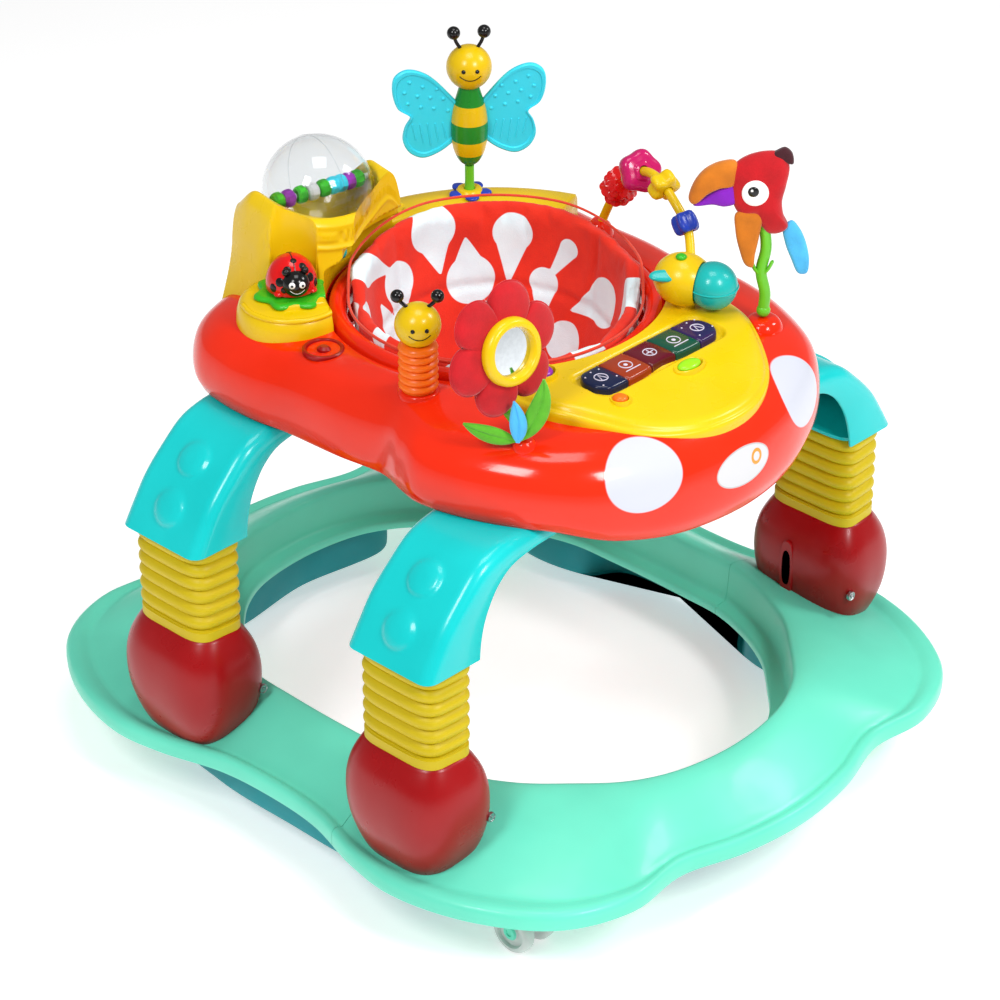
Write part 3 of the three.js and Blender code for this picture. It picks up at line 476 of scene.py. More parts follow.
RED_PLUSH = plush("red_plush", (190, 0, 18))
ORANGE_PLUSH = plush("orange_plush", (206, 116, 14))
PURPLE_PLUSH = plush("purple_plush", (132, 20, 190))
BLUE_PLUSH = plush("blue_plush", (76, 184, 240))
GREEN_PLUSH = plush("green_plush", (92, 182, 34))
CLEAR = clear("clear_smoke", (246, 248, 249))
MIRROR = metal("mirror_film", (226, 232, 236), 0.06)
STEEL = metal("spring_steel", (176, 176, 178), 0.3)
print("all finishes ready")

# %% [markdown]
# ## The floor ring
# The ring is a thin moulded skin over a wavy outline: a lip, a shallow groove, a long slope up
# to the crown, a steep inner wall and a ledge. A bevelled slab would have one slope all round,
# but this slope is wide at the corners and narrow at the sides. So each point of the profile
# lies a share of the way from the outer outline to the inner one. The outline is one quarter,
# mirrored three times, and the finished ring is parted at its seam.
# %% Ring outlines
RING_OUTER = [(300, 0), (304, 60), (322, 125), (328, 180), (308, 256), (263, 320), (200, 347),
              (135, 343), (70, 362), (0, 370)]
RING_INNER = [(226, 0), (225, 50), (222, 100), (206, 150), (182, 193), (150, 228), (118, 258),
              (84, 277), (45, 288), (0, 292)]
SEAM_Y = -92
RING_COLUMNS = 264


def four_quarters(quarter):
    """The quarter, then its mirror images round to the start."""
    q = np.asarray(quarter, float)
    return np.vstack([q, q[-2:0:-1] * (-1, 1), q[:1] * (-1, 1), q[1:] * (-1, -1),
                      q[-2:0:-1] * (1, -1)])


outer = through(four_quarters(RING_OUTER), RING_COLUMNS)
inner = through(four_quarters(RING_INNER), RING_COLUMNS)
print("ring outline", outer.shape[0], "columns")

# %% Ring profile and its two halves
# Each row is the share of the way inwards, extra millimetres inwards, and the height.
RING_PROFILE = np.array([
    (0, 0.6, 58), (0, 0, 59.2), (0, -0.3, 64), (0, 0, 69), (0.012, 0, 72.4), (0.035, 0, 74.4),
    (0.065, 0, 75), (0.1, 0, 74.4), (0.13, 0, 72.8), (0.155, 0, 72), (0.18, 0, 72.8),
    (0.22, 0, 75.4), (0.3, 0, 79.4), (0.42, 0, 85.6), (0.56, 0, 92.8), (0.7, 0, 99.6),
    (0.8, 0, 104), (0.89, 0, 107), (0.95, 0, 108.2), (0.985, 0, 108.2), (1, 1, 107.4),
    (1, 2.2, 105.4), (1, 3, 101), (1, 4.2, 85), (1, 5.2, 75), (1, 6.8, 71.2), (1, 9.5, 69.8),
    (1, 18, 69), (1, 20.6, 68.2), (1, 21.6, 66.6), (1, 21.8, 61), (1, 20.8, 60),
    (1, 19.6, 61), (1, 19.2, 65.6), (1, 16, 66.6), (1, 4, 67.2), (1, 0.4, 70), (1, -2.4, 76),
    (1, -2.8, 100), (0.9, 0, 103.6), (0.8, 0, 100.6), (0.5, 0, 86.6), (0.22, 0, 71.8),
    (0.16, 0, 69), (0.08, 0, 71.6), (0.055, 0, 69), (0.045, 0, 60), (0.035, 0, 58)])
across = inner - outer
inward = across / np.linalg.norm(across, axis=1, keepdims=True)
share, extra, height = RING_PROFILE.T
flat = outer + share[:, None, None] * across + extra[:, None, None] * inward
ring_rows = lifted(flat, height)


def ring_half(name, side):
    """The ring's closed skin, parted by an upright plane at the seam and closed there."""
    mesh = mesh_of(name, [skin(ring_rows, ring=True)])
    work = bmesh.new()
    work.from_mesh(mesh)
    bmesh.ops.bisect_plane(work, geom=work.verts[:] + work.edges[:] + work.faces[:],
                           plane_co=(0, (SEAM_Y + side * 0.25) * MM, 0), plane_no=(0, side, 0),
                           clear_inner=True)
    bmesh.ops.holes_fill(work, edges=[e for e in work.edges if e.is_boundary])
    work.to_mesh(mesh)
    work.free()
    return settle(name, mesh, "base", MINT,
                  [f"floor_ring_{'rear' if side > 0 else 'front'}"], sharp=50)


ring_half("ring_front", -1)
ring_half("ring_rear", 1)
print("floor ring in two halves")

# %% [markdown]
# ## Stop pads
# Four rubber pads hang below the ring. If a wheel drops over a step, a pad lands on the edge
# and stops the walker. A cut and bevelled box would do, but the pads follow the ring's curve,
# so each is its own smooth outline with upright walls and a rounded foot.
# %% Stop pads
PAD_SIDE = [(206, -196), (206, -130), (240, -95), (248, -10), (240, 70), (208, 96), (206, 180),
            (262, 180), (284, 90), (286, -10), (284, -100), (262, -196)]
PAD_END = [(-112, 268), (0, 276), (112, 268), (118, 300), (0, 322), (-118, 300)]
PAD_PROFILE = [(0.02, 24), (0.9, 24), (0.965, 24.6), (0.985, 26.4), (0.995, 29), (1, 34),
               (1, 56), (0.99, 57), (0.9, 57), (0.02, 57)]


def stop_pad(name, outline, side):
    """A pad from one outline, mirrored by side (x factor, y factor)."""
    loop = through(np.array(outline, float) * side, 120)
    piece(name, plate(loop, PAD_PROFILE, np.eye(3), (0, 0, 0), loop.mean(0)), "base", TEAL,
          [name.replace("pad", "stop_pad")])


stop_pad("pad_left", PAD_SIDE, (1, 1))
stop_pad("pad_right", PAD_SIDE, (-1, 1))
stop_pad("pad_rear", PAD_END, (1, 1))
stop_pad("pad_front", PAD_END, (1, -1))
print("four stop pads")

# %% [markdown]
# ## Castors
# Each castor has a pair of small wheels on one axle. A wheel is round, so it is a profile
# turned about the axle: a rounded tread, a sunk face and a coloured hub cap. Turning the
# profile, where a cylinder would need bevels, gives the tread's exact curve.
# %% Wheels
CASTOR_X, CASTOR_Y, CASTOR_TRAIL, WHEEL_R = 241, 247, 10, 21
WHEEL = [(0.1, 7.4), (3, 7.4), (16.5, 7.4), (19.6, 8.2), (20.7, 9.6), (21, 11.4), (21, 15),
         (20.6, 17), (19.4, 18.8), (17.4, 19.6), (15.2, 19.6), (14.4, 18.4), (13.8, 16.8),
         (8.6, 16.4), (8, 17.4), (7.4, 18.2), (0.1, 18.4)]
HUB = [(0.1, 16.6), (7.6, 16.8), (7.4, 18.8), (6.2, 20), (3.4, 20.2), (3, 19.2), (0.1, 19)]
ACROSS_X = np.array([[0, 1, 0], [0, 0, 1], [1, 0, 0]])
for side_x, x_word in ((1, "left"), (-1, "right")):
    for side_y, y_word in ((-1, "front"), (1, "rear")):
        corner = f"{y_word}_{x_word}"
        axle = (side_x * CASTOR_X, side_y * CASTOR_Y - CASTOR_TRAIL, WHEEL_R)
        mirrored = ACROSS_X * np.array([[1], [1], [-1]])
        both = [turned(WHEEL, 48, axle, axes) for axes in (ACROSS_X, mirrored)]
        spindle = turned([(0.1, -8), (3.2, -8), (3.2, 8), (0.1, 8)], 20, axle, ACROSS_X)
        piece(f"wheels_{corner}_pair", both + [spindle], f"wheels_{corner}", GREY,
              [f"castor_wheels_{corner}"])
        piece(f"hubs_{corner}", [turned(HUB, 32, axle, axes) for axes in (ACROSS_X, mirrored)],
              f"wheels_{corner}", MINT)
        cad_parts[f"castor_fork_{corner}"].data.materials[0] = GREY
print("eight castor wheels")

# %% [markdown]
# ## Legs
# A foot is a swollen rounded block, and a ribbed sleeve runs up from it into a deep channel that
# bends inwards under the tray. Cubes with bevels would give flat sides, so the foot is a
# superellipse whose half sizes change with height. The bellows use the same section with a row
# of round ribs.
# The arch carries its channel along a curve, with two round bosses on its outer face.
# %% Feet
LEG_X, LEG_Y_FRONT, LEG_Y_REAR = 275, -160, 126
FOOT_TOP, ARCH_BOTTOM = 182, 275
LEGS = {"rear_right": (-1, LEG_Y_REAR), "front_right": (-1, LEG_Y_FRONT),
        "front_left": (1, LEG_Y_FRONT), "rear_left": (1, LEG_Y_REAR)}
FOOT_ROWS = [(31, 45, 70), (35.6, 51, 80), (40.4, 57, 94), (44.2, 61.4, 110), (46, 63.4, 128),
             (45.4, 62.6, 146), (42, 59, 161), (36, 53.4, 173), (29.5, 48, 182)]


def rounded_block(rows, centre, side, count=96, power=0.5):
    """Superellipse sections with half sizes a and b at height z. The side that faces away
    from the walker's middle is a little narrower."""
    a, b, z = (k[:, None] for k in np.asarray(rows, float).T)
    angle = (np.arange(count) + 0.5) * 2 * np.pi / count
    c, s = np.cos(angle), np.sin(angle)
    x = a * np.sign(c) * np.abs(c) ** power
    y = b * np.sign(s) * np.abs(s) ** power * (1 - 0.05 * side * x / a)
    return np.stack([centre[0] + x, centre[1] + y, np.broadcast_to(z, x.shape)], axis=-1)


foot_curve = through(FOOT_ROWS, 34, closed=False)
foot_lip = [(27.4, 46.4, 183), (25, 44, 183.2), (1, 1, 183.2)]
foot_hollow = [(1, 1, 104), (36, 50, 104), (36, 50, 100), (28, 42, 72), (28.4, 42.4, 70.2),
               (29.8, 43.8, 69.6)]
for leg, (side, y) in LEGS.items():
    rows = np.vstack([foot_hollow, foot_curve, foot_lip])
    block = rounded_block(rows, (side * LEG_X, y), side, power=0.66)
    piece(f"foot_{leg}_shell", skin(block), "base",
          DARK_RED, [f"foot_{leg}"], sharp=50)
    inner_face = side * (LEG_X - 45.2)
    slot_axes = facing(-90 * side)
    slot = through([(-4, -19), (0, -22), (4, -19), (4, 19), (0, 22), (-4, 19)], 48)
    rim = plate(slot * 1.35, [(0.6, 1), (0.96, 1), (1, 0), (0.98, -2), (0.02, -2), (0.02, -0.5),
                              (0.62, -0.5)], slot_axes, (inner_face, y + 6, 128))
    # The black plate is painted shade: it fills the slot's opening, which is not cut, and stands
    # for the dark inside the slot.
    piece(f"slot_{leg}", plate(slot, rounded_edge(2, 0.85), slot_axes, (inner_face, y + 6, 128)),
          "base", BLACK)
    piece(f"slot_rim_{leg}", rim, "base", DARK_RED)
    screw = turned([(0.1, 1.4), (1.4, 1.2), (1.6, 0.4), (3.4, 0.4), (3.8, 1), (4.4, 1),
                    (4.6, 0), (4.6, -2), (0.1, -2)], 24, (side * (LEG_X - 30), y - 61.2, 118),
                   axes_along((0, -1, 0)))
    piece(f"foot_screw_{leg}", screw, "base", STEEL)
print("four feet")

# %% Bellows and springs
RIBS = 6
SPRING_TURNS, SPRING_WIRE = 7, 1.6
BELLOWS_LOW, BELLOWS_HIGH = FOOT_TOP + 0.3, ARCH_BOTTOM - 0.3
share = np.linspace(0, 1, 124)
in_ribs = np.clip((share - 0.12) / 0.88, 0, 1) * RIBS
swell = np.where(share < 0.12, 0.86, np.abs(np.sin(np.pi * in_ribs)) ** 0.7)
swell = np.where((share > 0.1) & (share < 0.12), 0.5, swell)
bellows_rows = np.stack([24.3 + 4.3 * swell, 42.3 + 4.8 * swell,
                         BELLOWS_LOW + share * (BELLOWS_HIGH - BELLOWS_LOW)], -1)
inside_rows = [(22.4, 40.4, BELLOWS_HIGH), (22.4, 40.4, BELLOWS_LOW)]
for leg, (side, y) in LEGS.items():
    rows = rounded_block(np.vstack([bellows_rows, inside_rows]), (side * LEG_X, y), side)
    stretch = ("base", "tray", np.array([side * LEG_X, y, BELLOWS_LOW]) * MM,
               np.array([side * LEG_X, y, BELLOWS_HIGH]) * MM)
    piece(f"bellows_{leg}_sleeve", skin(rows, ring=True), stretch, BELLOWS_YELLOW,
          [f"bellows_{leg}"], sharp=60)
    low, high = (np.array(corner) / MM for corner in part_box(f"leg_spring_{leg}"))
    turns = np.linspace(0, SPRING_TURNS, 160)
    reach = (high[0] - low[0]) / 2 - SPRING_WIRE
    coil = np.stack([side * LEG_X + reach * np.cos(2 * np.pi * turns),
                     y + reach * np.sin(2 * np.pi * turns),
                     low[2] + SPRING_WIRE + (high[2] - low[2] - 2 * SPRING_WIRE)
                     * turns / SPRING_TURNS], -1)
    piece(f"coil_{leg}", tube(coil, SPRING_WIRE, 10), stretch, STEEL,
          [f"leg_spring_{leg}"])
print("four bellows with", RIBS, "ribs")

# %% Arches
# Each row is the outer face and the inner edge, as distance outwards from the leg and height.
ARCH_ROWS = [(34, 275, -29, 275), (23, 294, -31, 290), (8, 317, -36, 308),
             (-14, 340, -45, 325), (-36, 358.5, -55, 337), (-60, 367, -70, 347),
             (-92, 370.2, -96, 352.5), (-125, 371.6, -125, 354)]
BOSS_PLACES = (34, 82)              # along the outer face, from the lower edge
BOSS_R, BOSS_RISE = 17.5, 4.4
ARCH_HALF, ARCH_WALL, ARCH_CORNER = 50, 3, 12


def arch_section(width, depth):
    """Rows of (lateral, depth) round a channel: the outer face, a round corner, a side, the
    edge, and back along the inside."""
    corner = np.radians(np.linspace(90, 0, 7)[1:-1])
    y = [*np.linspace(0, width - ARCH_CORNER, 18), *(width - ARCH_CORNER * (1 - np.cos(corner))),
         width, width, width - 0.6, width - ARCH_WALL + 0.6, width - ARCH_WALL,
         width - ARCH_WALL, width - ARCH_WALL - 2, width - ARCH_CORNER, 0]
    d = [*np.zeros(18), *(ARCH_CORNER * (1 - np.sin(corner))), ARCH_CORNER, depth - 1,
         depth, depth, depth - 1, ARCH_WALL + 7, ARCH_WALL + 2, ARCH_WALL, ARCH_WALL]
    half = np.stack([y, d], -1)
    return np.vstack([half, half[-2:0:-1] * (-1, 1)])


def arch_skin(side, leg_y):
    """The channel carried along the arch, with two shallow domes raised on its face."""
    rows = through(ARCH_ROWS, 90, closed=False)
    face, edge = rows[:, :2], rows[:, 2:]
    depth_way = (edge - face) / np.linalg.norm(edge - face, axis=1, keepdims=True)
    width = ARCH_HALF - 4 * np.linspace(0, 1, len(rows))
    depth = np.linalg.norm(edge - face, axis=1)
    section = np.stack([arch_section(w, d) for w, d in zip(width, depth)])
    length = np.concatenate([[0], np.cumsum(np.linalg.norm(np.diff(face, axis=0), axis=1))])
    lateral, down = section[..., 0], section[..., 1]
    for place in BOSS_PLACES:
        away = np.hypot(lateral, (length - place)[:, None]) / BOSS_R
        rise = BOSS_RISE * (0.35 * smoothstep((1 - away) * 6) + 0.65 * smoothstep(1.25 - away))
        down = down - np.where(down < 0.5, rise * (away < 1.3), 0)
    d = face[:, None, 0] + down * depth_way[:, None, 0]
    z = face[:, None, 1] + down * depth_way[:, None, 1]
    return skin(np.stack([side * (LEG_X + d), leg_y + lateral, z], axis=-1))


for leg, (side, y) in LEGS.items():
    floor_rows = rounded_block([(1, 1, 275.2), (29.5, 44, 275.2), (29.5, 44, 278.4),
                                (1, 1, 278.4)], (side * (LEG_X + 1), y), side, 48)
    post = turned([(0.1, 145), (10, 145), (11, 146.5), (11, 277), (0.1, 277)], 28,
                  (side * LEG_X, y, 0))
    piece(f"arch_{leg}_shell", [arch_skin(side, y), skin(floor_rows), post], "tray", TURQUOISE,
          [f"arch_{leg}"], sharp=40)
print("four arches with two bosses each")

# %% [markdown]
# ## The tray
# The tray is one glossy shell: a wavy rim, a broad rounded edge and a flat top with a round
# hole. A bevel could not grow from narrow sides to a broad front, so every rim point looks
# towards the middle of the hole and a rounding profile is carried along that ray. The two
# white spots and the oval label are printed on the shell. A raised disc would catch the light
# at its edge, so they are part of the finish: points within a distance of a centre are white.
# %% Tray finish
SPOTS = [(-98, -250, 408), (98, -250, 408)]
SPOT_SIZE, LABEL_CENTRE = (38, 38, 30), (-4, -285, 392)


def inside_print(tree, coords, centre, size):
    """1 within an ellipsoid round the centre, 0 outside, from object coordinates: the length
    of (place - centre) / size, with an edge 3 % wide."""
    edge = 0.985
    mapping = tree.nodes.new("ShaderNodeMapping")
    mapping.vector_type = "POINT"
    mapping.inputs["Location"].default_value = [-c / s for c, s in zip(centre, size)]
    mapping.inputs["Scale"].default_value = [1 / (s * MM) for s in size]
    length = tree.nodes.new("ShaderNodeVectorMath")
    length.operation = "LENGTH"
    tree.links.new(coords.outputs["Object"], mapping.inputs["Vector"])
    tree.links.new(mapping.outputs["Vector"], length.inputs[0])
    return spread(tree, length.outputs["Value"], 1, 0, edge, 2 - edge)


TRAY_RED = plastic("tray_red_gloss", (232, 38, 0), 0.13, coat=0.175)
tray_tree = TRAY_RED.node_tree
tray_shader = tray_tree.nodes["Principled BSDF"]
tray_coords = [n for n in tray_tree.nodes if n.type == "TEX_COORD"][0]
body_colour = tray_shader.inputs["Base Color"].links[0].from_socket
prints = [(centre, SPOT_SIZE, (0.6, 0.62, 0.7, 1)) for centre in SPOTS]
prints += [(LABEL_CENTRE, (33, 60, 17), (0.5, 0.5, 0.5, 1)),
           (LABEL_CENTRE, (31.8, 60, 15.8), (0.66, 0.66, 0.68, 1)),
           ((12, -285, 395), (7, 60, 7), (0.9, 0.3, 0.03, 1)),
           ((12, -285, 395), (4, 60, 4), (0.66, 0.66, 0.68, 1))]
for centre, size, colour in prints:
    mix = tray_tree.nodes.new("ShaderNodeMix")
    mix.data_type = "RGBA"
    mix.inputs["B"].default_value = colour
    tray_tree.links.new(inside_print(tray_tree, tray_coords, centre, size),
                        mix.inputs["Factor"])
    tray_tree.links.new(body_colour, mix.inputs["A"])
    body_colour = mix.outputs["Result"]
tray_tree.links.new(body_colour, tray_shader.inputs["Base Color"])
print("tray finish with", len(prints), "prints")

# %% Tray shell
RING_CENTRE = np.array([0, 8])
TRAY_TOP, TRAY_RIM, TRAY_DIP, SEAT_HOLE_R = 441, 371, 22, 152
TRAY_HALF = [(0, 240), (70, 236), (135, 224), (182, 206), (206, 178), (214, 145), (215, 105),
             (210, 66), (207, 0), (202, -50), (210, -78), (216, -104), (210, -140),
             (194, -183), (172, -220), (142, -248), (104, -267), (60, -281), (0, -288)]
TRAY_EDGE = [(0.04, 0), (-0.02, 0.15), (-0.02, 0.42), (0.06, 0.67), (0.25, 0.86),
             (0.52, 0.955), (1, 1)]
half = np.array(TRAY_HALF, float)
tray_rim = through(np.vstack([half, half[-2:0:-1] * (-1, 1)]), 352)
tray_edge = through(TRAY_EDGE, 34, closed=False)


def tray_rays():
    """For every rim point, the way to the hole, its length and the rounding's width."""
    ray = tray_rim - RING_CENTRE
    reach = np.linalg.norm(ray, axis=1)
    length = reach - SEAT_HOLE_R
    return -ray / reach[:, None], length, np.minimum(75, 0.8 * length)


def tray_rows(shares, inset=0.0, drop=0.0):
    """Rows of the tray's skin at those (inwards, upwards) shares of its rounding."""
    way, _, rounding = tray_rays()
    low = TRAY_RIM - TRAY_DIP * smoothstep((-tray_rim[:, 1] - 214) / 74)
    e, f = (k[:, None] for k in np.asarray(shares, float).T)
    flat = tray_rim + (e * rounding + inset)[..., None] * way
    return np.concatenate([flat, (low + f * (TRAY_TOP - drop - low))[..., None]], axis=-1)


def tray_ring(inset_from_hole, z):
    """A level row of the tray, that far outside the hole's edge."""
    way, length, _ = tray_rays()
    flat = tray_rim + (length - inset_from_hole)[:, None] * way
    return np.concatenate([flat, np.full((len(flat), 1), z)], axis=-1)[None]


lip = [(1.6, 441), (0.5, 440.6), (0, 439.4), (0, 434), (0.6, 433), (2.4, 433), (3, 434),
       (3, 438)]
lower_edge = [(0.05, -0.012), (0.07, -0.018)]
tray_grid = np.vstack([tray_rows(lower_edge), tray_rows(tray_edge),
                       *[tray_ring(inset, z) for inset, z in lip],
                       tray_rows(tray_edge[::-2], 3.2, 3)])
TOY_SOCKET, WORM, PARROT = (-168, 55), (-163, -57), (134, -190)
socket_rim = turned([(15.4, 438), (18.4, 438), (18.6, 441.4), (17.6, 442.4), (15.6, 442.2),
                     (14.8, 441), (14.6, 424), (14.9, 421), (0.1, 421), (0.1, 418),
                     (16.8, 418), (16.8, 436)], 44, (*TOY_SOCKET, 0))
seat_boss = turned([(0.1, 430), (18, 430), (18.6, 437), (17.8, 441.6), (16.8, 442.3),
                    (0.1, 442.3)], 44, (*WORM, 0))
parrot_bump = turned(through([(19.6, 412), (19.4, 424), (18.6, 434), (16.4, 441),
                              (12.6, 445.4), (7, 447), (0.1, 447)], 26, closed=False),
                     44, (*PARROT, 0))
piece("tray_skin", [skin(tray_grid, ring=True), seat_boss, parrot_bump],
      "tray", TRAY_RED, ["tray_shell"], sharp=55)
socket_lug = tube(through([(*TOY_SOCKET, 424), (*TOY_SOCKET, 434),
                           (TOY_SOCKET[0] + 1, TOY_SOCKET[1], 441)], 8, closed=False), 6.4, 20)
piece("toy_socket", [socket_rim, socket_lug], "tray", DARK_RED)
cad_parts["tray_frame"].data.materials[0] = RED
print("tray of", tray_grid.shape[0] * tray_grid.shape[1], "points")

# %% [markdown]
# ## The seat ring and the padded seat
# The ring turns in the tray's hole. The seat is sewn from printed cloth over thin padding: a
# high back, two wings and a low front. It starts as a closed shell of revolution whose rim
# height changes with the angle. Sculpted wrinkles would look the same everywhere, so a cloth
# simulation swells the shell and the seams are then drawn in. The print is a signed distance
# to a set of drop shapes, kept on the mesh, so its edges stay crisp without a picture.
# %% Seat ring
SEAT_RING = [(133.4, 424), (133.2, 432), (133.4, 440), (134.6, 443), (137, 445.6), (140, 446.8),
             (143, 446.8), (146, 445.8), (148, 443.6), (149, 440), (149.2, 434), (149.6, 432.6),
             (151, 432.2), (155, 432.2), (156, 431.4), (156, 425), (155, 424)]
piece("seat_ring_gloss", turned(SEAT_RING, 160, (*RING_CENTRE, 0), ring=True), "seat", RED,
      ["seat_ring"], sharp=50)
print("seat ring")

# %% Seat shell
SEAT_YAW = np.radians(-46)
SEAT_OUT = [(20, 266), (48, 270), (78, 288), (102, 325), (118, 370), (127, 415), (130.6, 440)]
SEAT_IN = [(121, 438), (117.5, 415), (107, 372), (90, 330), (68, 297), (42, 282), (18, 278)]
SEAT_COLUMNS = 168


def seat_edge(from_back):
    """Height of the rim: a high back, side wings, then a low front."""
    a = np.abs(from_back) * 180 / np.pi
    wing = 484 - 12 * smoothstep((a - 25) / 55)
    return wing - 24 * smoothstep((a - 80) / 18)


def seat_shell():
    """Rows from the bottom's outside, over the rolled rim, to the bottom's inside: each is
    (radius, height) at an angle, and only the heights above the ring change with the angle."""
    angle = np.arange(SEAT_COLUMNS) * 2 * np.pi / SEAT_COLUMNS
    from_back = (angle - np.pi / 2 + np.pi) % (2 * np.pi) - np.pi
    top = seat_edge(from_back)
    rise = np.linspace(0, 1, 12)[1:, None]
    out = through(SEAT_OUT, 34, closed=False)
    inn = through(SEAT_IN, 34, closed=False)
    lean = 130.6 + 1.0 * rise
    upper_z = 440 + rise * (top - 4 - 440)
    turn = np.radians(np.linspace(0, 180, 9))[1:-1, None]
    middle = 126.8
    rows = [np.broadcast_to(out[:, None], (34, SEAT_COLUMNS, 2)),
            np.stack(np.broadcast_arrays(lean, upper_z), -1),
            np.stack(np.broadcast_arrays(middle + 4.8 * np.cos(turn),
                                         top - 4 + 4 * np.sin(turn)), -1),
            np.stack(np.broadcast_arrays(121 + 1.0 * rise[::-1], upper_z[::-1]), -1),
            np.broadcast_to(inn[:, None], (34, SEAT_COLUMNS, 2))]
    grid = np.concatenate(rows)
    r, z = grid[..., 0], grid[..., 1]
    turned_angle = angle + SEAT_YAW
    return skin(np.stack([RING_CENTRE[0] + r * np.cos(turned_angle),
                          RING_CENTRE[1] + r * np.sin(turned_angle), z], axis=-1))


def seat_coords(co):
    """Angle from the seat's back (radians), radius and height of points in millimetres."""
    x, y = co[:, 0] - RING_CENTRE[0], co[:, 1] - RING_CENTRE[1]
    angle = np.arctan2(y, x) - SEAT_YAW - np.pi / 2
    return (angle + np.pi) % (2 * np.pi) - np.pi, np.hypot(x, y), co[:, 2]


print("seat shell ready")

# %% Printed drops
# Angle from the back in degrees (positive to the child's left), height of the round end,
# radius, length to the tip, and the way the tip points in degrees, where 0 is down.
DROPS = [(-8, 452, 17, 44, 4), (30, 462, 21, 40, -8), (-36, 446, 9, 40, 30),
         (-62, 412, 21, 40, 60), (12, 408, 21, 36, 175), (-24, 408, 13, 36, 0),
         (52, 424, 18, 46, 0), (78, 462, 16, 48, -62), (96, 424, 19, 46, 14),
         (122, 452, 9, 48, 40), (140, 420, 17, 40, -50), (165, 424, 18, 42, 20),
         (-90, 446, 15, 44, 10), (-112, 418, 18, 42, -30), (-140, 432, 17, 44, 35),
         (-166, 414, 18, 40, 0), (60, 372, 20, 42, 160), (0, 368, 18, 40, 20),
         (-40, 360, 17, 40, -40), (110, 372, 20, 44, 150), (-84, 376, 18, 42, 180),
         (-120, 368, 18, 42, 10), (150, 366, 17, 40, 10), (175, 378, 16, 40, -80),
         (20, 322, 15, 34, 60), (-60, 318, 15, 34, -30), (120, 320, 15, 34, 100),
         (-130, 320, 15, 34, 0)]


def drop_distance(co):
    """Signed distance in millimetres to the nearest printed drop: a disc joined to a tip."""
    angle, radius, z = seat_coords(co)
    nearest = np.full(len(co), 99.0)
    for at, height, r, length, way in DROPS:
        r, length = r * 1.1, length * 1.15
        turn = (angle - np.radians(at) + np.pi) % (2 * np.pi) - np.pi
        u, v = turn * np.maximum(radius, 70), z - height
        w = np.radians(way)
        across = u * np.cos(w) + v * np.sin(w)
        along = u * np.sin(w) - v * np.cos(w)
        disc = np.hypot(across, along) - r
        s = np.clip(along / length, 0, 1)
        cone = np.abs(across) - r * (1 - s) ** 0.8 * (1 - 0.25 * s)
        cone = np.where((along > 0) & (along < length), cone, 99.0)
        nearest = np.minimum(nearest, np.minimum(disc, cone))
    return nearest


def seat_cloth():
    """Printed cloth: two dyes split at the drops' edges, a fine weave and a soft sheen."""
    material, tree, shader, coords = nodes_of("seat_print")
    distance = tree.nodes.new("ShaderNodeAttribute")
    distance.attribute_name = "drop_distance"
    printed = spread(tree, distance.outputs["Fac"], 1, 0, -0.4, 0.4)
    mottle = spread(tree, noise(tree, coords, 40.0).outputs["Fac"], 0, 1)
    ground = two_tone(tree, mottle, linear((228, 40, 4)), linear((214, 32, 4)))
    white = two_tone(tree, mottle, linear((226, 246, 250)), linear((218, 238, 244)))
    mix = tree.nodes.new("ShaderNodeMix")
    mix.data_type = "RGBA"
    tree.links.new(printed, mix.inputs["Factor"])
    tree.links.new(ground, mix.inputs["A"])
    tree.links.new(white, mix.inputs["B"])
    tree.links.new(mix.outputs["Result"], shader.inputs["Base Color"])
    shader.inputs["Roughness"].default_value = 0.88
    shader.inputs["Sheen Weight"].default_value = 0.12
    wrinkle = noise(tree, coords, 26.0, 2.0).outputs["Fac"]
    weave = tree.nodes.new("ShaderNodeTexVoronoi")
    weave.inputs["Scale"].default_value = 900.0
    tree.links.new(coords.outputs["Object"], weave.inputs["Vector"])
    total = tree.nodes.new("ShaderNodeMath")
    total.operation = "MULTIPLY_ADD"
    total.inputs[1].default_value = 0.12
    tree.links.new(weave.outputs["Distance"], total.inputs[0])
    tree.links.new(wrinkle, total.inputs[2])
    bump(tree, shader, total.outputs["Value"], 0.5, 0.003)
    return material


SEAT_CLOTH = seat_cloth()
print(len(DROPS), "printed drops")


# %% Swell the seat
SEAT_VOXEL, SEAT_CAP = 5.0, 6.0


def swollen(mesh):
    """The mesh remeshed and blown up a little as cloth, with each point's way capped: the way
    times the smaller of 1 and cap / length."""
    pad = bpy.data.objects.new("pad_work", mesh)
    scene.collection.objects.link(pad)
    bpy.context.view_layer.objects.active = pad
    remesh = pad.modifiers.new("remesh", "REMESH")
    remesh.voxel_size = SEAT_VOXEL * MM
    bpy.ops.object.modifier_apply(modifier="remesh")
    before = np.empty(len(pad.data.vertices) * 3)
    pad.data.vertices.foreach_get("co", before)
    cloth = pad.modifiers.new("cloth", "CLOTH")
    cloth.settings.use_pressure = True
    cloth.settings.uniform_pressure_force = 4
    cloth.settings.effector_weights.gravity = 0
    for now in range(1, 21):
        scene.frame_set(now)
    bpy.ops.object.modifier_apply(modifier="cloth")
    scene.frame_set(1)
    after = np.empty_like(before)
    pad.data.vertices.foreach_get("co", after)
    before, after = before.reshape(-1, 3), after.reshape(-1, 3)
    moved = after - before
    far = np.linalg.norm(moved, axis=1, keepdims=True) + 1e-12
    return pad, before + moved * np.minimum(1, SEAT_CAP * MM / far)


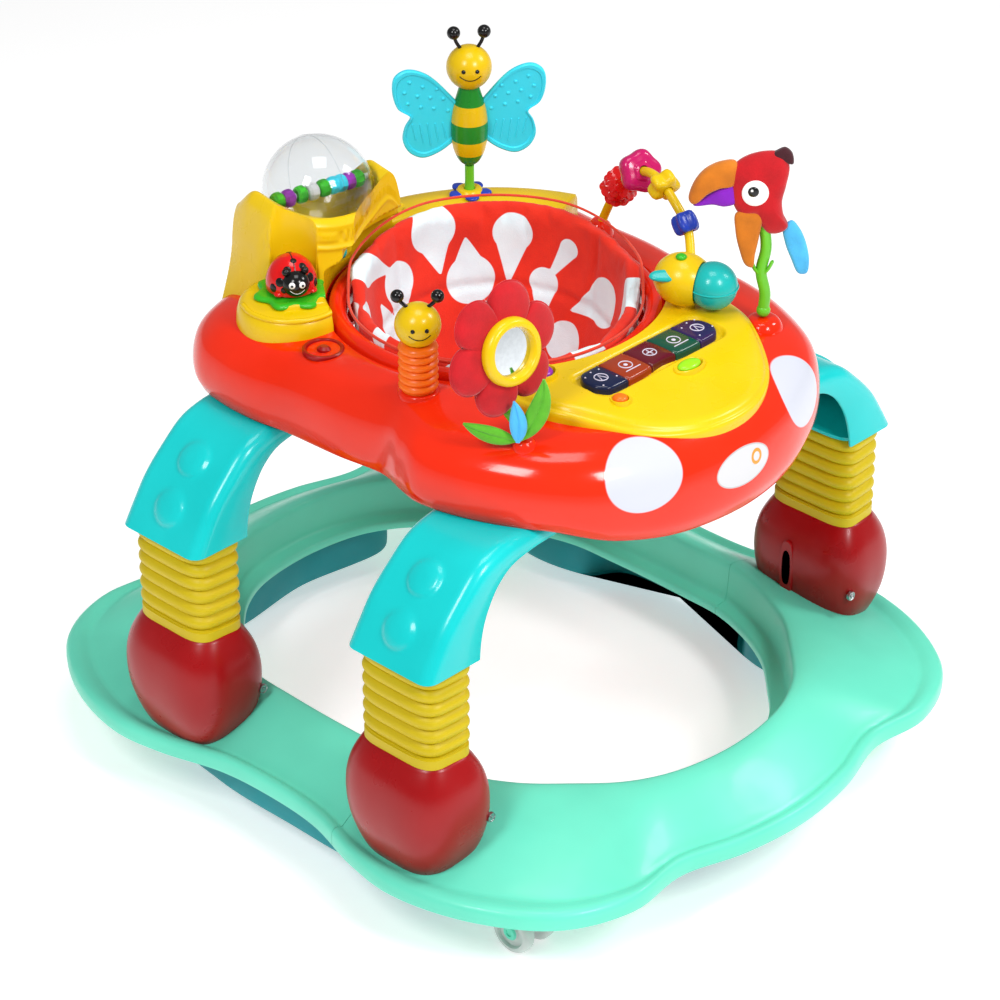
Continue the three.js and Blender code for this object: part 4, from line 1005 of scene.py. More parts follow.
def seams(co):
    """How far points are drawn in at the sewn lines, in millimetres: two upright seams beside
    the back, a level one round the back, and one round the seat's floor."""
    angle, radius, z = seat_coords(co)
    inside = radius < 126.5
    upright = sum(np.exp(-((np.degrees(angle) - at) * np.pi / 180 * radius / 3.4) ** 2)
                  for at in (-52, 50))
    level = np.exp(-((z - 392 - 10 * np.cos(angle)) / 3.4) ** 2)
    bottom = np.exp(-((z - 318) / 4) ** 2)
    folds = 0.9 * np.sin(angle * 9 + z / 17) * np.sin(z / 23 + angle * 4)
    return np.where(inside, 3.0 * (upright * (z > 392) + level + bottom) + folds, 0)


pad, co = swollen(mesh_of("seat_padding", [seat_shell()]))
angle, radius, z = seat_coords(co / MM)
way = np.stack([np.cos(angle + SEAT_YAW + np.pi / 2), np.sin(angle + SEAT_YAW + np.pi / 2),
                0 * angle], -1)
co = co + way * seams(co / MM)[:, None] * MM
pad.data.vertices.foreach_set("co", co.ravel())
finer = pad.modifiers.new("finer", "SUBSURF")
finer.levels = finer.render_levels = 1
bpy.context.view_layer.objects.active = pad
bpy.ops.object.modifier_apply(modifier="finer")
seat_mesh = pad.data
co = np.empty(len(seat_mesh.vertices) * 3)
seat_mesh.vertices.foreach_get("co", co)
seat_mesh.attributes.new("drop_distance", "FLOAT", "POINT").data.foreach_set(
    "value", drop_distance(co.reshape(-1, 3) / MM).astype(np.float32))
bpy.data.objects.remove(pad)
seat_pad = settle("seat_padding", seat_mesh, "seat", SEAT_CLOTH,
                  ["seat_fabric"], sharp=180)
print("padded seat with", len(seat_mesh.vertices), "points")


# %% Piping
def round_seat(radius, height_of):
    """A path round the seat at a radius, with its height from the angle from the back."""
    a = np.radians(np.linspace(-180, 180, 220, endpoint=False))
    turn = a + SEAT_YAW + np.pi / 2
    return np.stack([RING_CENTRE[0] + radius * np.cos(turn),
                     RING_CENTRE[1] + radius * np.sin(turn), height_of(a)], -1)


piping = plush("piping_red", (222, 66, 40))
edge_path = round_seat(131.2, lambda a: seat_edge(a) - 1.5)
low_path = round_seat(131.6, lambda a: np.full_like(a, 447.6))
piece("seat_piping", [tube(edge_path, 1.2, 10, ring=True), tube(low_path, 1.1, 10, ring=True)],
      "seat", piping)
print("piping")

# %% [markdown]
# ## The rear deck and the ball tower
# One yellow moulding carries the rear toys: a curved rail behind the seat, a round platform,
# and a cradle with two horns that holds a clear ball full of beads. Cutting a ball out of a
# block would leave ragged edges. The cradle is a height field on polar rings about the ball
# instead: inside a rim curve it is the ball's bowl, outside it is the saddle between the
# horns. Every point is then kept off the seat and inside the tray.
# %% Keeping off the seat
NOSE_TOP, MOST_OF_TRAY = 458, 0.965
LADYBIRD = np.array([-138, 125])
BALL_CENTRE, BALL_R, BALL_HEADING = np.array([-58, 174, 516]), 51, -12
rim_from_ring = tray_rim - RING_CENTRE
rim_angle = np.arctan2(rim_from_ring[:, 1], rim_from_ring[:, 0])
rim_order = np.argsort(rim_angle)


def kept_clear(shape, overhang=0.0):
    """Points moved along their ray from the seat's middle, so that they lie outside the seat
    and within a share of the tray's outline. An overhang lets them come 16 mm closer above
    the seat's ring, and 9 mm more above its cloth."""
    points, faces = shape
    points = np.array(points, float)
    above = smoothstep((points[:, 2] - 468) / 10) * 16 + smoothstep((points[:, 2] - 485) / 4) * 9
    least = 152.8 - overhang * above
    ray = points[:, :2] - RING_CENTRE
    angle, reach = np.arctan2(ray[:, 1], ray[:, 0]), np.linalg.norm(ray, axis=1)
    outline = np.interp(angle, rim_angle[rim_order],
                        np.linalg.norm(rim_from_ring, axis=1)[rim_order], period=2 * np.pi)
    wanted = np.clip(reach, least, outline * MOST_OF_TRAY)
    points[:, :2] = RING_CENTRE + ray * (wanted / reach)[:, None]
    return points, faces


def arc_path(radius, z, start, end, count):
    """Points on a level arc about the seat's middle, by angle from +X in degrees."""
    a = np.radians(np.linspace(start, end, count))
    return np.stack([RING_CENTRE[0] + radius * np.cos(a), RING_CENTRE[1] + radius * np.sin(a),
                     np.full(count, z)], -1)


print("deck helpers ready")

# %% Rail and platform
rail_section = np.array([(153.4, 426), (152.8, 452), (153, 458.6), (154.6, 461.2), (157.6, 462),
                         (172, 462.6), (189, 462), (193, 460.6), (195.4, 457.4), (196, 452),
                         (197, 438), (198, 420), (176, 418)])
rail_angle = np.radians(np.concatenate([[20.6], np.linspace(21, 149, 128), [149.4]]))
shrink = np.ones(130)
shrink[[0, -1]] = 0.9
middle = rail_section.mean(0)
section = middle + (rail_section - middle) * shrink[:, None, None]
rail_rows = np.stack([RING_CENTRE[0] + section[..., 0] * np.cos(rail_angle)[:, None],
                      RING_CENTRE[1] + section[..., 0] * np.sin(rail_angle)[:, None],
                      section[..., 1]], -1)
studs = [ball((*arc_path(r, 462, a, a, 1)[0][:2], 462.4), (3.4, 3.4, 2), count=16)
         for a in np.arange(74, 104, 5.2) for r in (164, 176, 187)]
nose = turned([(51, 420), (50.6, 434), (49.6, 446), (47.6, 453), (44.6, 457), (40, 458.4),
               (0.1, 458)], 120, (-141, 122, 0))
nose_lip = tube(through(circle(45, (-141, 122, 456.4), np.radians(np.arange(150, 331, 20))), 60,
                        closed=False), 2.6, 12)
print(len(studs), "studs on the rail")

# %% Cradle
SADDLE = [(-94, 424), (-88, 446), (-82, 466), (-77, 486), (-73, 506), (-69, 522), (-62, 530),
          (-54, 525), (-42, 519), (-22, 515), (0, 514), (22, 516), (42, 520), (54, 526),
          (60, 528), (67, 520), (72, 506), (78, 486), (85, 462), (91, 444), (95, 424)]
saddle_curve = through(SADDLE, 240, closed=False)
CRADLE_FRONT, CRADLE_BACK, CRADLE_SIDE = -61, 50, 76
RIB_PITCH, RIB_DEPTH = 3.6, 1.0


def saddle_at(x):
    """Height of the saddle's crest over a distance across the ball."""
    return np.interp(x, saddle_curve[:, 0], saddle_curve[:, 1])


def kept_in_cradle(x, y, z):
    """World x and y of local points, kept off the seat and inside the tray's outline."""
    h = np.radians(BALL_HEADING)
    world = np.stack([BALL_CENTRE[0] + x * np.cos(h) - y * np.sin(h),
                      BALL_CENTRE[1] + x * np.sin(h) + y * np.cos(h), z], -1)
    return kept_clear((world.reshape(-1, 3), None), 1.0)[0].reshape(world.shape)


def cradle():
    """Polar rings about the ball: the bowl out to its rim, the saddle out to a rounded box's
    edge, then a wall that flares at its foot and carries a band of ribs and a ridge."""
    turn = np.radians(np.arange(0, 360, 0.75))
    c, s = np.cos(turn), np.sin(turn)
    side = CRADLE_SIDE / np.maximum(np.abs(c), 1e-6)
    end = np.where(s < 0, -CRADLE_FRONT, CRADLE_BACK) / np.maximum(np.abs(s), 1e-6)
    power = 4 - 1.6 * smoothstep(-s * 3)
    edge = (side ** -power + end ** -power) ** (-1 / power)
    bowl_r = BALL_R + 2.6
    probe = np.linspace(0, 1, 300)[:, None] * np.minimum(edge, bowl_r * 0.999)
    bowl = BALL_CENTRE[2] - np.sqrt(np.maximum(bowl_r ** 2 - probe ** 2, 0))
    below = bowl < saddle_at(probe * c) - 27 * smoothstep((probe * s - 2) / 42) - 0.4
    rim = np.take_along_axis(probe, np.argmax(~below, axis=0)[None], axis=0)[0]
    rim = np.where(below.all(axis=0), probe[-1], rim)
    inside = np.linspace(0.02, 1, 22)[:, None] * rim
    z_in = BALL_CENTRE[2] - np.sqrt(np.maximum(bowl_r ** 2 - inside ** 2, 0))
    share = np.linspace(0, 1, 34)[1:, None]
    outside = rim + share * (edge - rim)
    from_edge, from_rim = (1 - share) * (edge - rim), share * (edge - rim)
    back_fall = 27 * smoothstep((outside * s - 2) / 42)
    z_out = saddle_at(outside * c) - back_fall - 6 * (1 - np.clip(from_edge / 7, 0, 1)) ** 2 \
        - 2.2 * (1 - np.clip(from_rim / 2.5, 0, 1)) ** 2
    fall = np.linspace(0, 1, 61)[1:, None]
    z_wall = z_out[-1] + fall * (422 - z_out[-1])
    wall = edge + 18 * fall ** 1.6
    r = np.vstack([inside, outside, wall])
    z = np.minimum(np.vstack([z_in, z_out, z_wall]), 538)
    world = kept_in_cradle(r * c, r * s, z)
    near = np.hypot(world[..., 0] - LADYBIRD[0], world[..., 1] - LADYBIRD[1])
    world[..., 2] = np.minimum(world[..., 2], NOSE_TOP - 1 + 90 * smoothstep((near - 28.5) / 7))
    drop = (z_out[-1] - z)[55:]
    front = smoothstep((-s - 0.25) / 0.3)
    band = smoothstep((drop - 5) / 2) * smoothstep((15 - drop) / 2)
    ribs = RIB_DEPTH * band * np.cos(2 * np.pi * edge * turn / RIB_PITCH)
    ridge = 1.6 * np.exp(-((drop - 20) / 2) ** 2)
    h = np.radians(BALL_HEADING)
    world[55:, :, 0] += (ribs + ridge) * front * (c * np.cos(h) - s * np.sin(h))
    world[55:, :, 1] += (ribs + ridge) * front * (c * np.sin(h) + s * np.cos(h))
    return skin(world)


piece("rear_deck", [kept_clear(k) for k in (skin(rail_rows), nose, nose_lip, *studs)]
      + [cradle()], "tray", YELLOW, ["toy_deck"], sharp=50)
print("cradle")

# %% Window drum
WINDOW_X, WINDOW_Z = 8, 469
window_at = kept_in_cradle(np.array(WINDOW_X), np.array(CRADLE_FRONT), np.array(WINDOW_Z))
window_axes = facing(-4)
window = plate(through([(-22, -7), (0, -10), (22, -7), (25, 0), (22, 8), (0, 10), (-22, 8),
                        (-25, 0)], 72), [(0.02, 0.4), (0.8, 0.4), (0.84, 1.4), (0.96, 1.8), (1, 0),
                                         (1, -6), (0.02, -6)], window_axes, window_at)
piece("window_frame", window, "tray", YELLOW)
drum = turned([(0.1, -17), (7, -17), (8.2, -15), (8.2, 15), (7, 17), (0.1, 17)], 40,
              window_at - 3.4 * window_axes[2], axes_along(window_axes[0]))
piece("window_drum", drum, "tray", AQUA)
print("window drum")

# %% Clear ball
arc = np.radians(np.linspace(5, 175, 40))
bow = np.stack([np.sin(arc), np.cos(arc)], axis=-1)
shell = np.vstack([BALL_R * bow, (BALL_R - 1.6) * bow[::-1]])
ball_turn = np.radians(BALL_HEADING)
ball_axis = axes_along((np.cos(ball_turn), np.sin(ball_turn), 0))
piece("ball_clear", turned(shell, 80, BALL_CENTRE, ball_axis, ring=True), "spin_ball", CLEAR,
      ["clear_ball"])
piece("ball_axle", turned([(0.1, -60), (2.4, -60), (2.8, -59), (2.8, 59), (2.4, 60), (0.1, 60)],
                          20, BALL_CENTRE, ball_axis), "spin_ball", WHITE,
      ["bead_axle"])
seam_path = circle(BALL_R, turn=FULL_TURN[::2]) @ ball_axis + BALL_CENTRE
piece("ball_seam", tube(seam_path, 0.5, 8, hint=ball_axis[2], ring=True), "spin_ball", CLEAR)
BEADS = {"green": (GREEN, "green_plastic", (-42, -18, 6, 42)),
         "purple": (PURPLE, "purple_plastic", (-31, 33)),
         "white": (WHITE, "white_plastic", (-6,)),
         "blue": (WING_BLUE, "sky_plastic", (16, 24))}
for colour, (finish, record_slot, places) in BEADS.items():
    beads = [turned([(2.9, x - 5.4), (6.4, x - 5), (8.2, x - 2.6), (8.4, x), (8.2, x + 2.6),
                     (6.4, x + 5), (2.9, x + 5.4)], 10, BALL_CENTRE, ball_axis, ring=True)
             for x in places]
    piece(f"ball_beads_{colour}", beads, "spin_ball", finish, sharp=25)
crumbs = {"red": (LADYBIRD_RED, "red_plastic", (-14, -18, -38)),
          "lime": (LIME, "lime_plastic", (4, -20, -36)),
          "gold": (YELLOW, "yellow_plastic", (18, -12, -40))}
crumb_axes = np.array([ball_axis[2], np.cross((0, 0, 1), ball_axis[2]), (0, 0, 1)])
for colour, (finish, record_slot, place) in crumbs.items():
    piece(f"ball_crumb_{colour}", ball(np.array(place) @ crumb_axes + BALL_CENTRE, (3.6,) * 3,
                                       count=16), "spin_ball", finish)
print("ball with beads")

# %% [markdown]
# ## Faces
# The ladybird, the bee and the worm share one simple smile: two eyes and an arc. A print would
# need unwrapped balls, so the parts are small raised shapes, placed by working out points on
# the ball's own front.
# %% Smiles


def on_ball(centre, radius, axes, right, up):
    """Points of a ball's front that far right and up, as shares of its radius. How far out
    they lie is the root of 1 - right^2 - up^2."""
    out = np.sqrt(np.maximum(1 - right ** 2 - up ** 2, 0))
    return np.asarray(centre) + radius * (np.stack([right, up, out], axis=-1) @ axes)


def smile(name, centre, radius, heading, body, ink=BLACK,
          eye_at=(0.3, 0.06), eye_r=0.095, mouth=(0.46, -0.16, -0.36)):
    """Two eyes and a curved mouth, a parabola of right and up, on a ball's front."""
    axes = facing(heading, 6)
    eyes = [ball(on_ball(centre, radius, axes, s * eye_at[0], eye_at[1]),
                 (radius * eye_r, radius * eye_r, radius * eye_r * 0.6),
                 axes_along(on_ball((0, 0, 0), 1, axes, s * eye_at[0], eye_at[1])), 20)
            for s in (-1, 1)]
    across = np.linspace(-mouth[0], mouth[0], 21)
    curve = mouth[1] + (mouth[2] - mouth[1]) * (1 - (across / mouth[0]) ** 2)
    line = on_ball(centre, radius * 1.004, axes, across, curve)
    piece(name, [*eyes, tube(line, radius * 0.022, 8, hint=axes[2])], body, ink)


def feelers(name, centre, radius, heading, body, spread_to, rise, ball_r=6.2):
    """Two stalks with a knob each, on top of a head."""
    right = facing(heading)[0]
    shapes = []
    for s in (-1, 1):
        tip = np.asarray(centre) + s * spread_to * right + (0, 0, rise)
        root = np.asarray(centre) + s * spread_to * 0.5 * right + (0, 0, radius * 0.82)
        bend = (root + tip) / 2 + s * 1.5 * right
        shapes += [tube(through([root, bend, tip], 14, closed=False), 1.7, 12,
                        hint=facing(heading)[2]),
                   ball(tip, (ball_r,) * 3, count=28)]
    piece(name, shapes, body, BLACK)


print("face helpers ready")

# %% Ladybird on its leaf
LADYBIRD_LOW = NOSE_TOP + 6.3
lobes = circle(32.4 + 3.2 * np.cos(7 * FULL_TURN))[:, :2]
leaf_profile = [(0.02, 0.3), (0.9, 0.3), (0.97, 0.8), (1, 2), (0.99, 3.6), (0.94, 4.8),
                (0.84, 5.4), (0.72, 4.6), (0.6, 5.2), (0.02, 5.9)]
lady_leaf = kept_clear(plate(lobes, leaf_profile, np.eye(3), (*LADYBIRD, NOSE_TOP)))
piece("ladybird_leaf", lady_leaf, "tray", GREEN, ["ladybug_leaf"])
lady_axes = facing(-30)
lady_top = np.array([*LADYBIRD, LADYBIRD_LOW + 5.0])
lady_out, lady_right = lady_axes[2], lady_axes[0]
shell_centre = lady_top - 2 * lady_out
piece("ladybird_shell", ball(shell_centre, (23, 23, 27), count=56, low=-8), "ladybug",
      LADYBIRD_RED, ["ladybug"])
spots = []
for right, up, r in ((-0.62, 0.35, 4.2), (0.6, 0.4, 4.2), (-0.3, 0.72, 3.8), (0.34, 0.76, 3.8),
                     (-0.85, 0.1, 4), (0.84, 0.12, 4), (-0.5, 0.1, 3), (0.02, 0.93, 3)):
    for facing_way in (1, -1):
        out = facing_way * np.sqrt(max(1 - right ** 2 - up ** 2, 0))
        way = np.array([right, up, out]) @ lady_axes
        at = shell_centre + way * np.array([23, 23, 27]) * 0.985
        spots.append(ball(at, (r, r, 0.9), axes_along(way / np.array([23, 23, 27])), 20))
t = np.radians(np.linspace(25, 175, 24))
suture = (shell_centre + np.stack([0 * t, np.sin(t), np.cos(t)], axis=-1) @ lady_axes
          * np.array([23.1, 23.1, 27.1]))
piece("ladybird_spots", spots + [tube(suture, 0.5, 8, hint=lady_right)], "ladybug",
      BLACK)
head_at = lady_top + 14.5 * lady_out + (0, 0, 7)
knobs = [ball(head_at + s * 8.5 * lady_right + (0, 0, 11.5), (3.6, 3.6, 3.6), count=20)
         for s in (-1, 1)]
piece("ladybird_head", [ball(head_at, (12.6, 12.6, 12), count=40), *knobs], "ladybug", BLACK)
smile("ladybird_smile", head_at, 12.5, -36, "ladybug", ink=WHITE,
      eye_at=(0.36, 0.16), eye_r=0.24, mouth=(0.5, -0.24, -0.5))
pupils = [ball(on_ball(head_at, 14.6, facing(-36, 6), s * 0.33, 0.14), (1.2, 1.2, 1.2),
               count=12) for s in (-1, 1)]
piece("ladybird_pupils", pupils, "ladybug", BLACK)
feet = [ball(lady_top + s * 15 * lady_right + f * lady_out - (0, 0, 2.6), (4.6, 4.6, 2.4),
             count=20) for s in (-1, 1) for f in (13, -9)]
piece("ladybird_feet", feet, "ladybug", LADYBIRD_RED)
print("ladybird")

# %% Bee with wings
BEE, BEE_HEADING = np.array([111, 148]), -38
bee_axes = facing(BEE_HEADING)
BEE_BODY = through([(4, 492), (9, 496), (13.4, 504), (16.4, 516), (17.2, 530), (15.8, 546),
                    (12.4, 560), (9.6, 570), (9, 574)], 90, closed=False)
STRIPES = (491, 505, 519, 536, 554, 575)
for i, (low, high) in enumerate(zip(STRIPES, STRIPES[1:])):
    rows = BEE_BODY[(BEE_BODY[:, 1] >= low - 0.5) & (BEE_BODY[:, 1] <= high + 0.5)]
    dye, record_slot = ((BEE_GREEN, "green_plastic"), (BEE_YELLOW, "yellow_plastic"))[i % 2]
    rows = np.vstack([[(0.1, rows[0, 1])], rows, [(0.1, rows[-1, 1])]])
    piece(f"bee_stripe_{i}", turned(rows, 56, (*BEE, 0)), "butterfly", dye)
bee_head = np.array([*BEE, 590.0])
piece("bee_head", ball(bee_head, (21, 21, 21), count=64), "butterfly", BEE_YELLOW)
smile("bee_smile", bee_head, 21, BEE_HEADING - 4, "butterfly")
feelers("bee_feelers", bee_head, 21, BEE_HEADING, "butterfly", 14, 34)
WING = [(6, 546), (20, 566), (40, 585), (58, 590), (69, 583), (71, 568), (66, 552), (55, 543),
        (60, 533), (62, 520), (56, 508), (44, 502), (30, 506), (16, 516), (7, 528)]
wing_middle = np.array([36, 548])


def wing(side):
    """A flat vane with a raised rim, studs in the upper lobe and ribs in the lower."""
    outline = (through(WING, 120) - (0, 548)) * (side, 1)
    middle = (wing_middle - (0, 548)) * (side, 1)
    at = np.array([*BEE, 548.0])
    vane = plate(outline, [(0.02, -1.4), (0.88, -1.4), (0.9, -2.6), (0.97, -2.8), (1, -1.6),
                           (1, 1.6), (0.97, 2.8), (0.9, 2.6), (0.88, 1.2), (0.02, 1.2)],
                 bee_axes, at, middle)
    studs = [ball(at + np.array([side * x, z, s * 1.2]) @ bee_axes, (1.9, 1.9, 1.3),
                  axes_along(bee_axes[2]), 14)
             for x, z in ((24, 12), (36, 14), (48, 16), (60, 20), (30, 22), (43, 25), (55, 30),
                          (20, 0), (33, 3), (45, 5), (57, 9)) for s in (-1, 1)]
    ribs = [tube([at + np.array([side * x, z, s * 1.3]) @ bee_axes
                  for x, z in ((x0, -34 + abs(x0 - 36) * 0.5), (x0 + 3, -12))], 0.8, 8,
                 hint=bee_axes[2]) for x0 in (22, 29, 36, 43, 50) for s in (-1, 1)]
    return [vane, *studs, *ribs]


piece("bee_wings", wing(-1) + wing(1), "butterfly", WING_BLUE, ["butterfly"])
stem_rows = [(5.2, 462.6), (5, 466), (4.4, 474), (4.4, 491)]
piece("bee_stem", turned([(0.1, 462.4), *stem_rows, (0.1, 491.4)], 32, (*BEE, 0)), "tray",
      STEM_GREEN, ["butterfly_stem"])
rosette = [plate(through([(0, 6), (5, 10), (6.4, 16), (0, 21), (-6.4, 16), (-5, 10)], 40),
                 rounded_edge(3, 0.8, 0.5), np.array([
                     [np.cos(a), np.sin(a), 0], [-np.sin(a), np.cos(a), 0], [0, 0, 1]]),
                 (*BEE, 464.2), (0, 13)) for a in np.radians(np.arange(0, 360, 72))]
piece("bee_rosette", rosette, "tray", BLUE)
piece("bee_foot", turned([(0.1, 462), (12, 462.4), (12.6, 465), (11, 467.6), (8, 468.4),
                          (5.4, 467.6), (5.2, 466.6), (0.1, 466.4)], 48, (*BEE, 0)), "tray",
      YELLOW)
print("bee")

# %% Worm
column = [(0.1, 442.8), (14.6, 442.8)]
for z in np.arange(444, 486, 7.1):
    column += [(14.4, z), (16.4, z + 1.2), (17.4, z + 3.4), (16.4, z + 5.6)]
column += [(13.6, 487.4), (0.1, 488)]
piece("worm_body", turned(column, 64, (*WORM, 0)), "worm", ORANGE,
      ["worm"], sharp=70)
worm_head = np.array([*WORM, 504.0])
piece("worm_head", ball(worm_head, (20, 20, 19.6), count=64), "worm", BEE_YELLOW)
smile("worm_smile", worm_head, 20, -40, "worm")
feelers("worm_feelers", worm_head, 20, -46, "worm", 17, 27, 5.8)
print("worm")

# %% [markdown]
# ## Flower with a mirror
# Plush petals on a nodding head, a yellow ring with a mirror in it, three plush leaves and a
# short socket. The petals' radius is 41 + 16 |cos 3(a - 12 degrees)|^0.6, which gives six round
# lobes with sharp gaps. They could be six stuffed pieces, but the real head is one bag sewn
# round, so it is one cushion, drawn in at its seam.
# %% Plush pieces


def cushion(outline, axes, at, thick, back, middle=None):
    """A stuffed shape: rings are the outline shrunk to a share s of its size about its middle,
    and stand off by thick / 2 times the root of 1 - s^4, with a 0.8 mm wall at the seam."""
    outline = np.asarray(outline, float)
    centre = outline.mean(0) if middle is None else np.asarray(middle)
    share = np.concatenate([np.linspace(0.02, 0.8, 9), np.linspace(0.85, 1, 9)])
    puff = (1 - share ** 4) ** 0.5 * thick / 2 + 0.8
    both = np.concatenate([share, share[::-1]])
    grid = lifted(centre + (outline - centre) * both[:, None, None],
                  np.concatenate([puff, -puff[::-1]]) + back)
    return skin(grid[::-1] @ axes + np.asarray(at))


def plump(name, shapes, body, finish, replaces=None):
    """A stuffed piece, made like any other piece."""
    made = piece(name, shapes, body, finish, replaces)
    return made


FLOWER_AT, FLOWER_HEADING, FLOWER_LEAN = np.array([-172, -171, 525.0]), -6, 10
flower_axes = facing(FLOWER_HEADING, FLOWER_LEAN)
petals = circle(41 + 16 * np.abs(np.cos(3 * (FULL_TURN - np.radians(12)))) ** 0.6)[:, :2]
plump("flower_petals_plush", cushion(petals, flower_axes, FLOWER_AT, 15, -8, middle=(0, 0)),
      "flower", RED_PLUSH, ["flower_petals"])
petal_seam = lifted(petals[None] * 1.004, [-8.0])[0]
piece("flower_seam", tube(petal_seam @ flower_axes + FLOWER_AT, 0.9, 8, ring=True), "flower",
      RED_PLUSH)
mirror_at = FLOWER_AT + 0.2 * flower_axes[2]
piece("mirror_ring", turned([(22.4, -1), (28, -0.6), (29.4, 2), (29.2, 6), (27.6, 9.2),
                             (25, 10.4), (22.4, 9.8), (21, 7.6), (20.8, 3), (21.4, 0)], 96,
                            mirror_at, flower_axes, ring=True), "flower", YELLOW,
      ["mirror_frame"])
piece("mirror_glass", turned([(0.1, 3.6), (12, 3.6), (21.4, 3.3), (21.6, 3), (21.6, 2), (0.1, 2)],
                             96, mirror_at, flower_axes), "flower", MIRROR)
hinge = np.array([-170, -169, 473.0])
neck = through([hinge, hinge + (0, 0, 10), (-171.6, -169.6, 490), (-172, -168.6, 502)], 16,
               closed=False)
piece("flower_neck", [tube(neck, 4.6, 20, hint=(1, 0, 0)), ball(hinge, (6.2,) * 3, count=28)],
      "flower", STEM_GREEN)
foot = np.array([-162, -180, 405.0])
stem = through([foot + (0, 0, 40), (-164, -177, 452), hinge - (0, 0, 6.2)], 14, closed=False)
socket = turned([(0.1, 0), (12.4, 0), (12, 10), (11, 26), (10, 33), (7, 36), (0.1, 36.4)], 48,
                foot)
piece("flower_socket", socket, "tray", RED)
piece("flower_stem", tube(stem, 5, 20, hint=(1, 0, 0)), "tray", STEM_GREEN)
print("flower")

# %% Leaves
leaf_axes = facing(-46)
LEAF_LOW = np.array([-166, -176, 442.0])


def leaf(length, width, tilt, curl, side, out):
    """A leaf that bends along its length, with a midrib groove, as a thin cushion."""
    along = np.linspace(0, 1, 30)
    half = width * np.sin(np.pi * np.clip(along, 0.02, 0.985) ** 0.8) ** 0.8 / 2 + 0.4
    bend = tilt + curl * along
    step = length / 29
    x = np.cumsum(np.sin(bend)) * step * side
    z = np.cumsum(np.cos(bend)) * step
    turn = np.radians(np.arange(0, 360, 15))
    grid = np.zeros((30, 24, 3))
    thick = 3.4 * np.sin(np.pi * np.clip(along, 0.03, 0.97)) ** 0.5 + 0.4
    tangent = np.stack([np.sin(bend) * side, np.cos(bend)], -1)
    across = np.stack([-tangent[:, 1], tangent[:, 0]], -1)
    u = half[:, None] * np.cos(turn)
    v = thick[:, None] * np.sin(turn) * (1 - 0.45 * np.exp(-(np.cos(turn) / 0.16) ** 2))
    grid[..., 0] = x[:, None] + across[:, 0, None] * u
    grid[..., 1] = z[:, None] + across[:, 1, None] * u
    grid[..., 2] = out + v + 0.12 * length * along[:, None] ** 2 + 0.012 * u ** 2
    flip = grid[:, ::-1] if side < 0 else grid
    return skin(flip @ leaf_axes + LEAF_LOW)


plump("leaf_left", leaf(48, 15, 1.35, -0.4, -1, 5), "tray", GREEN_PLUSH,
      ["flower_leaves"])
plump("leaf_right", leaf(66, 18, 0.7, -0.75, 1, 6), "tray", GREEN_PLUSH)
plump("leaf_blue", leaf(42, 14, -0.1, 0.35, -1, 10), "tray", BLUE_PLUSH)
print("leaves")

# %% [markdown]
# ## Parrot
# Every part of the bird is a flat stuffed bag: head, wing, tail feather, two halves of a beak
# and a tuft. Each is a cushion from its own outline, all in one upright plane, because that is
# how such a toy is sewn. They sway together on a ball at the foot of a green stem.
# %% Parrot cushions
PARROT_AT, PARROT_AXES = np.array([132, -188, 0.0]), facing(-46)


def feather(name, points, thick, out, finish, replaces=None):
    """One stuffed part of the bird from its outline (along, height)."""
    outline = through(points, 120)
    plump(name, cushion(outline, PARROT_AXES, PARROT_AT, thick, out), "parrot", finish,
          replaces)


feather("parrot_head", [(-28, 593), (-18, 602), (0, 607), (14, 605), (20, 594), (18, 576),
                        (15, 560), (17, 546), (21, 536), (14, 530), (4, 530), (-3, 538),
                        (-8, 548), (-22, 549), (-28, 560), (-30, 576)],
        20, 0, RED_PLUSH, ["parrot"])
feather("parrot_beak", [(-26, 598), (-38, 598), (-52, 591), (-62, 578), (-66, 562), (-62, 558),
                        (-50, 568), (-38, 574), (-26, 577)], 14, 1, ORANGE_PLUSH)
feather("parrot_lower_beak", [(-27, 577), (-40, 573), (-52, 566), (-62, 557), (-46, 558),
                              (-34, 556), (-24, 560)], 11, 1, PURPLE_PLUSH)
feather("parrot_wing", [(-25, 551), (-14, 553), (-3, 549), (-4, 530), (-7, 512), (-9, 499),
                        (-15, 501), (-21, 516), (-25, 534)], 9, 6, ORANGE_PLUSH)
feather("parrot_tail", [(17, 534), (24, 541), (31, 534), (38, 518), (41, 500), (39, 490),
                        (32, 490), (25, 504), (19, 520)], 8, 0, BLUE_PLUSH)
feather("parrot_tuft", [(4, 604), (10, 609), (16, 611), (22, 606), (23, 596), (17, 597),
                        (10, 600)], 8, 1, plush("tuft_dark", (60, 8, 22)))
# The glint on each pupil is a painted highlight: a small white dot that stands for the shine on
# the eye.
EYE_PARTS = (("eye", (-9, 572), 10.2, (12, 12.4, 1.9), 36, WHITE, "white_plastic"),
             ("pupil", (-11, 574), 11.7, (4.9, 4.9, 1.5), 32, BLACK, "black_plastic"),
             ("painted_glint", (-12.4, 575.6), 13.0, (1.2, 1.2, 0.5), 14, WHITE, "white_plastic"))
for part, place, out, size, count, finish, record_slot in EYE_PARTS:
    both = [ball(PARROT_AT + np.array([*place, s * out]) @ PARROT_AXES, size, PARROT_AXES, count)
            for s in (-1, 1)]
    piece(f"parrot_{part}", both, "parrot", finish)
sway = np.array([134, -190, 453.3])
stem = through([sway + (0, 0, 2), (134.5, -190.5, 470), (131.5, -187.5, 492), (134, -190, 514),
                (132, -188, 540)], 24, closed=False)
knot = [tube(through([stem[11] + (0, 0, -3), stem[11] + np.array([s * 6, 5, 2]) @ PARROT_AXES,
                      stem[11] + np.array([s * 9, 12, 3]) @ PARROT_AXES], 10, closed=False),
             3.4, 14, flat=0.5) for s in (-1, 1)]
piece("parrot_stem", [tube(stem, 5, 20, hint=(1, 0, 0)), ball(sway, (6.2,) * 3, count=28), *knot],
      "parrot", STEM_GREEN)
print("parrot")

